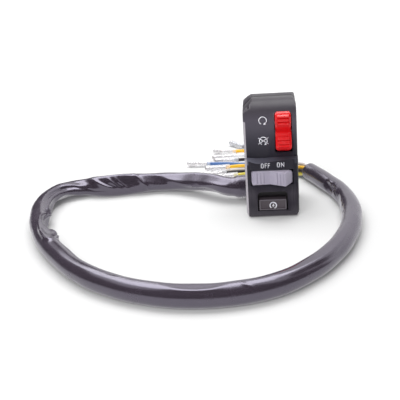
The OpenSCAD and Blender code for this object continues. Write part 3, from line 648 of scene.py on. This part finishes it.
def make_sleeve():
    knots = [(x * MM, y * MM, FLOOR + lift * MM + SLEEVE_D / 2) for x, y, lift in SLEEVE_ROUTE]
    line, at = even_line(curve_line(smooth_curve(knots)), RING_STEP)
    data = bpy.data.curves.new("sleeve", "CURVE")
    data.dimensions = "3D"
    data.twist_mode = "Z_UP"
    data.bevel_depth = SLEEVE_R
    data.bevel_resolution = (TUBE_SIDES - 4) // 2
    spline = data.splines.new("POLY")
    spline.points.add(len(line) - 1)
    for knot, point in zip(spline.points, line):
        knot.co = (*point, 1)
    mesh = curve_mesh(data)

    points = np.array([vertex.co for vertex in mesh.vertices])
    ring = np.arange(len(points)) // TUBE_SIDES
    ahead = np.gradient(line, axis=0)
    ahead /= np.linalg.norm(ahead, axis=1)[:, None]
    side = np.cross(ahead, np.array(UP))
    side /= np.linalg.norm(side, axis=1)[:, None]
    top = np.cross(side, ahead)
    off = points - line[ring]
    angle = np.arctan2((off * side[ring]).sum(1), (off * top[ring]).sum(1))
    radius = sleeve_radius(at[ring] / MM - LEAD_IN, np.degrees(angle), at[-1] / MM - LEAD_IN) * MM
    points = line[ring] + off / np.linalg.norm(off, axis=1)[:, None] * radius[:, None]
    points[:, 2] = np.maximum(points[:, 2], FLOOR + 0.03 * MM)
    mesh.vertices.foreach_set("co", points.ravel())
    while mesh.uv_layers:
        mesh.uv_layers.remove(mesh.uv_layers[0])
    lay_uv(mesh, at[ring] / (2 * math.pi * SLEEVE_R), angle / (2 * math.pi) + 0.5)
    mouth_end, mouth_ahead = Vector(line[-1]), Vector(ahead[-1])
    close_tube(mesh, mouth_end, mouth_ahead)
    sleeve = finish_piece("harness_sleeve_skin", mesh, PVC_SLEEVE, "housing",
                          ["harness_sleeve"], sharp=80)
    return mouth_end, mouth_ahead


mouth, mouth_ahead = make_sleeve()

WIRE_R = 2.4 / 2 * MM
WIRE_TUCK = 10 * MM
# Wires: node, length with its tuck, and route in millimetres as x, y and
# height of its middle above the floor
WIRES = [
    ("wire_green_yellow", 0.061,
     [(21.9, 45.6, 3.6), (18.6, 49.6, 2.4), (11, 52, 1.5), (-3, 54.5, 1.5),
      (-16, 54.6, 2.4), (-26, 52.6, 2.4)]),
    ("wire_black_front", 0.0716,
     [(21.9, 45.6, 5.6), (18.8, 50.8, 4.2), (12, 54.8, 2.8), (-3, 59.5, 1.5),
      (-21, 61, 2.4), (-34, 59, 2.4)]),
    ("wire_yellow_front", 0.0759,
     [(24, 46.5, 7.2), (20.8, 52, 6.4), (14.5, 57.5, 4.0), (1, 67, 1.5), (-19, 73.5, 2.4), (-32, 71.7, 2.4)]),
    ("wire_blue", 0.0939,
     [(24, 46.5, 3.6), (20.9, 53.2, 2.4), (15, 60.2, 1.5), (2, 72, 1.5), (-25, 78.5, 2.4), (-46, 82, 2.4)]),
    ("wire_black_back", 0.0807,
     [(26, 47.5, 3.6), (22.9, 54.3, 2.4), (17, 62.3, 1.5), (5, 76.5, 1.5), (-14, 88, 2.4), (-26, 88, 2.4)]),
    ("wire_white", 0.0921,
     [(26, 47.5, 8.4), (23, 55.2, 8.0), (17.6, 65, 5.4), (7, 82.5, 1.5), (-14, 99.5, 2.4), (-28, 97.7, 2.4)]),
    ("wire_yellow_back", 0.0999,
     [(28.1, 48.4, 3.6), (25, 56, 2.4), (19.4, 67.5, 1.5), (9, 88, 1.5),
      (-13, 108.5, 2.4), (-28, 110.7, 2.4)]),
    ("wire_grey", 0.1028,
     [(28.1, 48.4, 6.6), (25.2, 56.8, 5.4), (20, 70, 3.6), (12, 93, 1.5),
      (-13.5, 114, 2.4), (-21, 123, 2.4)]),
]


def turned_profile(profile):
    """A closed piece turned about Z; the profile is radius and height, in millimetres, from end to end."""
    bm = bmesh.new()
    corners = [bm.verts.new((radius * MM, 0, height * MM)) for radius, height in profile]
    edges = [bm.edges.new(pair) for pair in zip(corners, corners[1:])]
    bmesh.ops.spin(bm, geom=corners + edges, cent=(0, 0, 0), axis=(0, 0, 1), angle=2 * math.pi,
                   steps=32, use_merge=True)
    bmesh.ops.remove_doubles(bm, verts=bm.verts, dist=0.001 * MM)
    bmesh.ops.recalc_face_normals(bm, faces=bm.faces)
    return bm


def stand_on(place, ahead):
    """Turn that lays a piece's Z along a direction at a place."""
    return Matrix.Translation(place) @ ahead.to_track_quat("Z", "Y").to_matrix().to_4x4()


def make_terminal(name, seat):
    """Bullet terminal: rolled insulation crimp, wire crimp, neck and round-nosed bullet."""
    bm = turned_profile([
        (0, 0.1), (1.42, 0.1), (1.52, 0.3), (1.52, 2.2), (1.3, 2.5), (1.12, 2.9), (1.12, 3.3), (1.38, 3.6),
        (1.5, 3.9), (1.5, 5.7), (1.4, 6.0), (1.05, 6.3), (0.98, 6.8), (0.98, 7.9), (1.2, 8.2), (1.8, 8.35),
        (1.95, 8.6), (1.95, 10.2), (1.88, 10.35), (1.8, 10.7), (1.8, 11.1), (1.88, 11.4), (1.95, 11.6),
        (1.95, 13.1), (1.84, 13.75), (1.5, 14.35), (0.9, 14.85), (0, 15)])
    for vertex in bm.verts:
        height = vertex.co.z / MM
        if 3.6 < height < 6.1 and vertex.co.y < 0:
            vertex.co.y *= 0.72
    bm.transform(seat)
    metal = SPRING_STEEL if name == "grey" else TINNED_METAL
    return finish_piece("terminal_" + name, to_mesh(bm), metal, "housing",
                        ["bullet_terminals"], sharp=50)


def make_clear_sleeve(name, seat):
    """Clear sleeve slipped over a terminal: a thin open tube with rolled lips."""
    bm = turned_profile([
        (2.06, -2.9), (2.2, -3.0), (2.3, -2.85), (2.28, -1.5), (2.22, 0.5), (2.26, 4), (2.3, 9), (2.3, 13.8),
        (2.2, 14.0), (2.06, 13.9), (2.06, 9), (2.05, 4), (2.05, 0.5), (2.06, -2.9)])
    bm.transform(seat)
    return finish_piece("clear_sleeve_" + name, to_mesh(bm), CLEAR_PLASTIC, "housing",
                        ["clear_sleeves"], sharp=60)


def make_wire(name, length, route):
    finish = name.removesuffix("_front").removesuffix("_back")
    points = [Vector((x * MM, y * MM, FLOOR + height * MM)) for x, y, height in route]
    inside = mouth + (points[0] - mouth) * 0.92 - mouth_ahead * WIRE_TUCK
    data = smooth_curve([inside] + points)
    data.bevel_depth = WIRE_R
    data.bevel_resolution = 6
    data.use_fill_caps = True
    data.materials.append(WIRE_FINISHES[finish])
    wire = add_object(name + "_lead", data)
    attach(wire, "housing")
    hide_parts(name)
    title = name.removeprefix("wire_")
    seat = stand_on(points[-1], (points[-1] - points[-2]).normalized())
    make_terminal(title, seat)
    make_clear_sleeve(title, seat)


for wire in WIRES:
    make_wire(*wire)


# Housing

def cad_copy(name):
    """A copy of a node's own mesh with its triangles merged into whole faces."""
    bm = bmesh.new()
    bm.from_mesh(nodes[name].data)
    bmesh.ops.remove_doubles(bm, verts=bm.verts, dist=0.002 * MM)
    bmesh.ops.dissolve_limit(bm, angle_limit=math.radians(0.6), verts=bm.verts, edges=bm.edges)
    return bm


def soften_edges(bm, width, least=30, only=None):
    """Rounds the edges that turn more than the least angle, or only those that pass a test."""
    edges = [edge for edge in bm.edges
             if len(edge.link_faces) == 2 and edge.calc_face_angle(0) > math.radians(least)
             and (only is None or only(edge))]
    round_edges(bm, edges, width, 2, clamp=True)


# Past these, a place lies on the outer outline: across, up or down, and towards the slanting corner
OUTLINE_X = 15.5 * MM
OUTLINE_Z = 34.5 * MM
OUTLINE_SLANT = 44 * MM


def on_seam(edge):
    """True for an edge of the outer outline where the two halves meet."""
    middle = (edge.verts[0].co + edge.verts[1].co) / 2
    outside = (abs(middle.x) > OUTLINE_X or abs(middle.z) > OUTLINE_Z
               or middle.z - middle.x > OUTLINE_SLANT)
    return outside and all(abs(vertex.co.y) < 0.2 * MM for vertex in edge.verts)


def cut_across(bm, axis, places):
    """Cuts the whole mesh at places along one axis, in millimetres."""
    direction = Vector([float(axis == k) for k in range(3)])
    for place in places:
        bmesh.ops.bisect_plane(bm, geom=bm.verts[:] + bm.edges[:] + bm.faces[:], dist=0.001 * MM,
                               plane_co=direction * place * MM, plane_no=direction)


BROW_R = 13 * MM
BROW_MIDDLE = (UPPER_PANEL + BROW_R, front_high.z - BROW_R)
WALL = 2.2 * MM
SEAM_ROUND = 0.6 * MM
FOOT_ROUND = 4.2 * MM
LEDGE_TOP = 2 * MM
LEDGE_SLOPE = 0.48
# Ledge: place across the panel, height of its lower edge and of its upper edge, in millimetres
LEDGE = [(-16, 1.9, 2.4), (-14.5, 1.6, 2.3), (-13, 1.1, 2.2), (-11, 0.2, 2), (-9, -0.4, 1.8), (-7, -0.6, 1.8),
         (-5, -0.4, 1.8), (-3, 0, 1.8), (2, 0.7, 1.9), (7, 1.2, 2), (12, 1.6, 2), (16, 1.8, 2.1)]


def round_brow(bm):
    """Draws the edge between the top and the upper panel in to a wide round."""
    middle_y, middle_z = BROW_MIDDLE
    for vertex in bm.verts:
        y, z = vertex.co.y - middle_y, vertex.co.z - middle_z
        inner = vertex.co.y > UPPER_PANEL + WALL - 0.05 * MM and vertex.co.z < front_high.z - WALL + 0.05 * MM
        radius = BROW_R - WALL if inner else BROW_R
        reach = math.hypot(y, z)
        if y < 0 < z and reach > radius:
            vertex.co.y = middle_y + y * radius / reach
            vertex.co.z = middle_z + z * radius / reach


def round_foot(bm):
    """Draws the two lower corners of the outline in to a round."""
    steps = [0.7 * k for k in range(6)]
    cut_across(bm, 0, [side * (12.2 + step) for step in steps for side in (-1, 1)])
    cut_across(bm, 2, [-31.2 - step for step in steps])
    middle_x, middle_z = front_high.x - FOOT_ROUND, FLOOR + FOOT_ROUND
    for vertex in bm.verts:
        x, z = abs(vertex.co.x) - middle_x, vertex.co.z - middle_z
        reach = math.hypot(x, z)
        if x > 0 > z and reach > FOOT_ROUND:
            vertex.co.x = math.copysign(middle_x + x * FOOT_ROUND / reach, vertex.co.x)
            vertex.co.z = middle_z + z * FOOT_ROUND / reach


def shape_ledge(bm):
    """Bends the ledge into its crescent."""
    places, lower, upper = zip(*LEDGE)
    for vertex in bm.verts:
        depth = UPPER_PANEL - vertex.co.y
        on_ledge = abs(LEDGE_TOP - LEDGE_SLOPE * depth - vertex.co.z) < 0.05 * MM
        if on_ledge and depth > -0.01 * MM:
            share = depth / (UPPER_PANEL - LOWER_PANEL)
            low, high = (np.interp(vertex.co.x / MM, places, line) for line in (lower, upper))
            vertex.co.z = (high + (low - high) * share) * MM


def make_front_housing():
    bm = cad_copy("front_housing")
    cut_across(bm, 0, [place for place, low, high in LEDGE[1:-1]])
    # Cuts at each millimetre, so that the brow can bend
    cut_across(bm, 2, range(22, 35))
    cut_across(bm, 1, range(-6, -19, -1))
    shape_ledge(bm)
    round_brow(bm)
    round_foot(bm)
    soften_edges(bm, SEAM_ROUND, only=on_seam)
    soften_edges(bm, 0.2 * MM)
    return finish_piece("front_housing_shell", to_mesh(bm), HOUSING_PLASTIC, "housing",
                        ["front_housing"], sharp=40)


def make_softened(name, piece_name, material, width, body="housing"):
    bm = cad_copy(name)
    if name == "rear_housing":
        round_foot(bm)
        soften_edges(bm, SEAM_ROUND, only=on_seam)
    soften_edges(bm, width)
    return finish_piece(piece_name, to_mesh(bm), material, body, [name], sharp=40)


make_front_housing()
make_softened("rear_housing", "rear_housing_shell", HOUSING_PLASTIC, 0.3 * MM)


# Rockers

ROCKER_BACK = 1.9 * MM
ROCKER_RISE = 5.5 * MM


def rocker_blank(length, width, corner, rim):
    """Block of a rocker, length on X and front on -Y, with rounded corners and front rim."""
    bm = bmesh.new()
    bmesh.ops.create_cube(bm, size=1)
    bmesh.ops.scale(bm, vec=(length, ROCKER_RISE - ROCKER_BACK, width), verts=bm.verts)
    bmesh.ops.translate(bm, vec=(0, -(ROCKER_RISE + ROCKER_BACK) / 2, 0), verts=bm.verts)
    corners = [edge for edge in bm.edges if abs(edge.verts[0].co.y - edge.verts[1].co.y) > 1 * MM]
    round_edges(bm, corners, corner, 6)
    front = [edge for edge in bm.edges if all(v.co.y < -ROCKER_RISE + 0.01 * MM for v in edge.verts)]
    round_edges(bm, front, rim, 4)
    return bm


def make_rocker(name, turn, seat, material, length, width, slope, nose, corner, rim, ridges, pitch,
                ridge_rise, zone, end_r, dip, wall, stepped):
    """Rocker whose two halves meet in a vee, with rounded ridges across each half between its sides.

    In millimetres: slope of each half, nose at its ends, corner and rim radius, ridges' places, pitch, height
    and half width, radius of the ends about the pivot, depth and reach of the valley where the halves meet.
    A stepped rocker has a round step on one side of that valley.
    """
    half = length / 2
    straight = half - 2
    bm = rocker_blank(length * MM, width * MM, corner * MM, rim * MM)
    cuts = {0.0, 0.08, 0.25, 0.5, 1.0, 1.5, 2.0, 2.6, half - nose, half - nose * 0.6, half - nose * 0.3}
    for middle in ridges:
        cuts.update(middle + pitch / 2 * share for share in (-1, -0.9, -0.7, -0.35, 0, 0.35, 0.7, 0.9, 1))
    cut_across(bm, 0, sorted({round(side * cut, 4) for cut in cuts for side in (-1, 1)}))
    cut_across(bm, 2, [side * (zone + share) for side in (-1, 1) for share in (0, 0.22)])
    for vertex in bm.verts:
        along = abs(vertex.co.x) / MM
        if vertex.co.y > -ROCKER_RISE + rim * 1.2 * MM:
            continue
        past = max(0, along - half + nose) / nose
        valley = dip * math.exp(-(along / wall) ** 2)
        if stepped and vertex.co.x < -0.01 * MM:
            valley = dip - math.sqrt(dip ** 2 - max(0, dip - along) ** 2)
        rise = min(along, half) * slope - nose * 0.55 * past ** 2 - valley
        if abs(vertex.co.z) <= (zone + 0.01) * MM:
            for middle in ridges:
                rise += ridge_rise * math.sqrt(max(0, 1 - ((along - middle) / (pitch / 2)) ** 2))
        vertex.co.y -= rise * MM
    # The ends lie on a cylinder about the pivot
    for vertex in bm.verts:
        along = abs(vertex.co.x) / MM
        if along > straight:
            reach = math.sqrt(end_r ** 2 - (vertex.co.y / MM) ** 2)
            swept = straight + (along - straight) * (reach - straight) / (half - straight)
            vertex.co.x = math.copysign(swept * MM, vertex.co.x)
    bm.transform(seat @ Matrix.Rotation(math.radians(turn), 4, "Z"))
    bmesh.ops.recalc_face_normals(bm, faces=bm.faces)
    return finish_piece(name + "_cap", to_mesh(bm), material, name, [name], sharp=38)


KILL_SEAT = Matrix.Translation(KILL_PIVOT) @ Matrix(((0, 0, -1, 0), (0, 1, 0, 0), (1, 0, 0, 0), (0, 0, 0, 1)))
LIGHT_SEAT = Matrix.Translation(LIGHT_PIVOT)
make_rocker("kill_rocker", 7, KILL_SEAT, RED_PLASTIC, length=22.4, width=9.5, slope=0.158,
            nose=2.8, corner=1.5, rim=0.55, ridges=(4.3, 6.7, 9.1), pitch=2.4, ridge_rise=1.1, zone=3.35,
            end_r=12.5, dip=2.0, wall=2.6, stepped=True)
make_rocker("light_rocker", -13, LIGHT_SEAT, GREY_PLASTIC, length=23.2, width=8.7, slope=0.27,
            nose=1.6, corner=1.5, rim=0.6, ridges=(4.1, 6.05, 8.0), pitch=1.95, ridge_rise=0.65, zone=3.5,
            end_r=13.1, dip=0.3, wall=1.6, stepped=False)


# Printed symbols and lettering

INK = 0.05 * MM


def finish_print(name, bm, face, body):
    """A flat print, drawn in X and Z, on a face at one depth."""
    bmesh.ops.remove_doubles(bm, verts=bm.verts, dist=0.005 * MM)
    bmesh.ops.translate(bm, vec=(0, face - INK, 0), verts=bm.verts)
    for polygon in bm.faces:
        polygon.normal_update()
        if polygon.normal.y > 0:
            polygon.normal_flip()
    piece = finish_piece(name, to_mesh(bm), WHITE_INK, body)
    film = piece.modifiers.new("film", "SOLIDIFY")
    film.thickness = INK
    film.offset = -1


def draw_arc(bm, middle, radius, line, start, end):
    """Part of a ring; angles in degrees from straight down, turning to the right."""
    x, z = middle
    turn = Matrix.Rotation(math.radians(-start), 4, "Y")
    ends = [turn @ Vector((0, 0, -reach * MM)) + Vector((x * MM, 0, z * MM))
            for reach in (radius - line / 2, radius + line / 2)]
    corners = [bm.verts.new(end_point) for end_point in ends]
    bmesh.ops.spin(bm, geom=corners + [bm.edges.new(corners)], cent=(x * MM, 0, z * MM), axis=(0, -1, 0),
                   angle=math.radians(end - start), steps=40)


def draw_outline(bm, points):
    bm.faces.new([bm.verts.new((x * MM, 0, z * MM)) for x, z in points])


def draw_bar(bm, start, end, line):
    along = (Vector(end) - Vector(start)).normalized() * line / 2
    across = Vector((-along.y, along.x))
    first, last = Vector(start), Vector(end)
    draw_outline(bm, [first + across, first - across, last - across, last + across])


def draw_arrow(bm, middle, radius, at, size):
    """Arrowhead at the end of a ring that turns to the right and comes round to straight down."""
    angle = math.radians(at)
    outward = Vector((math.sin(angle), -math.cos(angle)))
    onward = Vector((-outward.y, outward.x)) * -1
    base = Vector(middle) + outward * radius
    draw_outline(bm, [base + outward * size * 0.75, base - outward * size * 0.6, base + onward * size * 1.1])


RUN_MIDDLE = (-4.2, 24.7)
RUN_R = 2.25
STOP_MIDDLE = (-4.25, 12.2)
STOP_R = 2.3
START_MIDDLE = (0.2, -27.75)
START_R = 1.95


def make_run_symbol():
    bm = bmesh.new()
    draw_arc(bm, RUN_MIDDLE, RUN_R, 0.44, 34, 335)
    draw_arrow(bm, RUN_MIDDLE, RUN_R, 38, 1.2)
    finish_print("run_symbol", bm, UPPER_PANEL, "housing")


def make_stop_symbol():
    bm = bmesh.new()
    draw_arc(bm, STOP_MIDDLE, STOP_R, 0.46, 38, 335)
    draw_arrow(bm, STOP_MIDDLE, STOP_R, 40, 1.1)
    x, z = STOP_MIDDLE
    for side in (-1, 1):
        draw_bar(bm, (x - 3, z - 1.95 * side), (x + 3, z + 1.95 * side), 0.42)
    finish_print("stop_symbol", bm, UPPER_PANEL, "housing")


LETTER_W = {"O": 1.6, "F": 1.35, "N": 1.95}
LETTER_H = 3
LETTER_LINE = 0.34


def draw_letter(bm, letter, left, low):
    """A narrow capital from bars and round ends."""
    width = LETTER_W[letter]
    right, high, half = left + width, low + LETTER_H, LETTER_LINE / 2
    bars = {
        "F": [((left + half, low), (left + half, high)), ((left, high - half), (right, high - half)),
              ((left, low + LETTER_H * 0.53), (right - 0.15, low + LETTER_H * 0.53))],
        "N": [((left + half, low), (left + half, high)), ((right - half, low), (right - half, high)),
              ((left + half, high - half), (right - half, low + half))],
        "O": [((side, low + width / 2), (side, high - width / 2)) for side in (left + half, right - half)]}
    for start, end in bars[letter]:
        draw_bar(bm, start, end, LETTER_LINE)
    if letter == "O":
        radius = width / 2 - half
        draw_arc(bm, (left + width / 2, low + width / 2), radius, LETTER_LINE, -90, 90)
        draw_arc(bm, (left + width / 2, high - width / 2), radius, LETTER_LINE, 90, 270)


def make_word(name, letters, places, low):
    bm = bmesh.new()
    for letter, place in zip(letters, places):
        draw_letter(bm, letter, place, low)
    finish_print(name, bm, LOWER_PANEL, "housing")


def make_start_symbol(face):
    bm = bmesh.new()
    draw_arc(bm, START_MIDDLE, START_R, 0.66, 38, 322)
    draw_arrow(bm, START_MIDDLE, START_R, 40, 1.0)
    bolt = [(0.7, 1.45), (-0.9, -0.2), (-0.1, -0.2), (-0.6, -1.6), (1.0, 0.15), (0.2, 0.15)]
    draw_outline(bm, [(START_MIDDLE[0] + x, START_MIDDLE[1] + z) for x, z in bolt])
    finish_print("start_symbol", bm, face, "starter")


make_run_symbol()
make_stop_symbol()
make_word("word_off", "OFF", (-6.3, -4.0, -2.2), -3.35)
make_word("word_on", "ON", (3.3, 5.65), -3.1)
make_start_symbol(BUTTON_FRONT + 0.7 * MM)

make_softened("clamp_screws", "clamp_screw_heads", STEEL, 0.2 * MM)
make_softened("cable_grommet", "cable_grommet_skin", RUBBER, 0.6 * MM)
make_softened("starter_button", "starter_button_cap", BUTTON_PLASTIC, 0.2 * MM, "starter")

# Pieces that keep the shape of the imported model
KEPT = {"thread_inserts": BRASS, "base_screws": STEEL, "starter_base": BLACK_PLASTIC,
        "starter_bridge": COPPER, "starter_clip": STEEL, "starter_contacts": BRASS}
SWITCH_PIECES = {"pivot_pin": STEEL, "base": BLACK_PLASTIC, "slider": NATURAL_NYLON, "moving_contact": COPPER,
                 "fixed_contacts": BRASS, "detent_spring": SPRING_STEEL}
for switch in ("kill_", "light_"):
    KEPT.update({switch + title: material for title, material in SWITCH_PIECES.items()})
for name, material in KEPT.items():
    nodes[name].data.materials.clear()
    nodes[name].data.materials.append(material)


def make_return_spring():
    """Spring of the starter button, in the shape of the imported model, kept with the housing."""
    mesh = to_mesh(cad_copy("starter_spring"))
    spring = finish_piece("starter_return_spring", mesh, SPRING_STEEL, "housing",
                          ["starter_spring"])
    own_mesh(spring)


make_return_spring()


# Floor, light and background

def white_rays(tree):
    """1 for rays from the camera or off gloss and glass, which see the white background."""
    path = shader_node(tree, "ShaderNodeLightPath").outputs
    seen = calculate(tree, "MAXIMUM", path["Is Camera Ray"], path["Is Glossy Ray"])
    return calculate(tree, "MAXIMUM", seen, path["Is Transmission Ray"])


def mix_shaders(tree, share, first, second):
    mix = shader_node(tree, "ShaderNodeMixShader")
    for source, socket in zip((share, first, second), mix.inputs):
        join(source, socket)
    return mix.outputs[0]


def make_world(level):
    world = bpy.data.worlds.new("studio")
    scene.world = world
    world.use_nodes = True
    tree = world.node_tree
    lit = tree.nodes["Background"]
    lit.inputs["Strength"].default_value = level
    lit.inputs["Color"].default_value = WHITE
    seen = shader_node(tree, "ShaderNodeBackground", Color=WHITE, Strength=1.0)
    mixed = mix_shaders(tree, white_rays(tree), lit.outputs[0], seen.outputs[0])
    join(mixed, tree.nodes["World Output"].inputs["Surface"])


def make_floor(shadow_share, glow, far_glow, gloss_white):
    """White floor that keeps the shadow, glows more away from the object, and is paler in reflections."""
    bm = bmesh.new()
    bmesh.ops.create_grid(bm, x_segments=1, y_segments=1, size=6)
    bmesh.ops.translate(bm, vec=(0, 0, FLOOR - 0.02 * MM), verts=bm.verts)
    mesh = to_mesh(bm)
    material = bpy.data.materials.new("floor")
    material.use_nodes = True
    tree = material.node_tree
    tree.nodes.remove(tree.nodes["Principled BSDF"])
    lit = shader_node(tree, "ShaderNodeBsdfDiffuse", Color=(0.8, 0.8, 0.8, 1))
    shaded = shader_node(tree, "ShaderNodeBsdfDiffuse", Color=(shadow_share, shadow_share, shadow_share, 1))
    glowing = shader_node(tree, "ShaderNodeEmission", Color=WHITE)
    plain = shader_node(tree, "ShaderNodeEmission", Color=WHITE)
    places = shader_node(tree, "ShaderNodeTexCoord").outputs
    away = shader_node(tree, "ShaderNodeVectorMath", {"operation": "LENGTH"})
    join(places["Object"], away.inputs[0])
    spread = spread_value(tree, away.outputs["Value"], glow, far_glow, 0.2, 0.6)
    join(spread, glowing.inputs["Strength"])
    seen = shader_node(tree, "ShaderNodeAddShader")
    join(shaded.outputs[0], seen.inputs[0])
    join(glowing.outputs[0], seen.inputs[1])
    rays = shader_node(tree, "ShaderNodeLightPath").outputs
    gloss = calculate(tree, "MULTIPLY", rays["Is Glossy Ray"], gloss_white)
    paler = mix_shaders(tree, gloss, seen.outputs[0], plain.outputs[0])
    mixed = mix_shaders(tree, white_rays(tree), lit.outputs[0], paler)
    join(mixed, tree.nodes["Material Output"].inputs["Surface"])
    mesh.materials.append(material)
    floor = add_object("floor", mesh)


def make_softbox(name, place, aim, size, radiance, gloss=True):
    data = bpy.data.lights.new(name, "AREA")
    data.shape = "RECTANGLE"
    data.size, data.size_y = size
    data.energy = radiance * math.pi * size[0] * size[1]
    lamp = add_object(name, data)
    turn = (Vector(aim) - Vector(place)).to_track_quat("-Z", "Y")
    lamp.matrix_world = Matrix.Translation(place) @ turn.to_matrix().to_4x4()
    lamp.visible_glossy = gloss


CARD_R = 2.0


def make_shade_card(name, start, sweep, high, foot=None):
    """Dark card round part of the stage, in degrees from +X and up to a height; only gloss shows it.

    With a foot it also lies on the floor, from that distance outwards.
    """
    bm = bmesh.new()
    arc = [bm.verts.new((foot, 0, FLOOR + 0.1 * MM))] if foot else []
    for step in range(10):
        height = math.radians(0.1 + (high - 0.1) * step / 9)
        arc.append(bm.verts.new((CARD_R * math.cos(height), 0, FLOOR + CARD_R * math.sin(height))))
    edges = [bm.edges.new(pair) for pair in zip(arc, arc[1:])]
    bmesh.ops.spin(bm, geom=arc + edges, cent=(0, 0, 0), axis=(0, 0, 1), angle=math.radians(sweep), steps=30)
    turn = Matrix.Rotation(math.radians(start), 3, "Z")
    bmesh.ops.rotate(bm, cent=(0, 0, 0), matrix=turn, verts=bm.verts)
    mesh = to_mesh(bm)
    mesh.materials.append(moulded_plastic(name, srgb(40, 40, 44), srgb(48, 48, 52), (0.9, 1.0)))
    card = add_object(name, mesh)
    card.visible_camera = False
    card.visible_diffuse = False
    card.visible_shadow = False


make_world(0.35)
make_shade_card("front_card", -150, 120, 72)
make_shade_card("left_card", 103, 107, 40, foot=0.19)
make_shade_card("right_card", -30, 48, 46)
make_floor(0.64, 0.06, 0.8, 0.8)
make_softbox("top_softbox", (-0.1, 0.35, 1.1), (-0.04, -0.03, 0), (1.5, 0.9), 4.0)
make_softbox("left_rim_lamp", (-0.58, 0.845, 0.78), (-0.11, -0.08, 0), (0.65, 0.25), 4.0)
make_softbox("front_fill", (-0.3, -1.0, 0.8), (0, 0, 0), (1.0, 0.8), 4.0, gloss=False)

scene.view_settings.view_transform = "Standard"
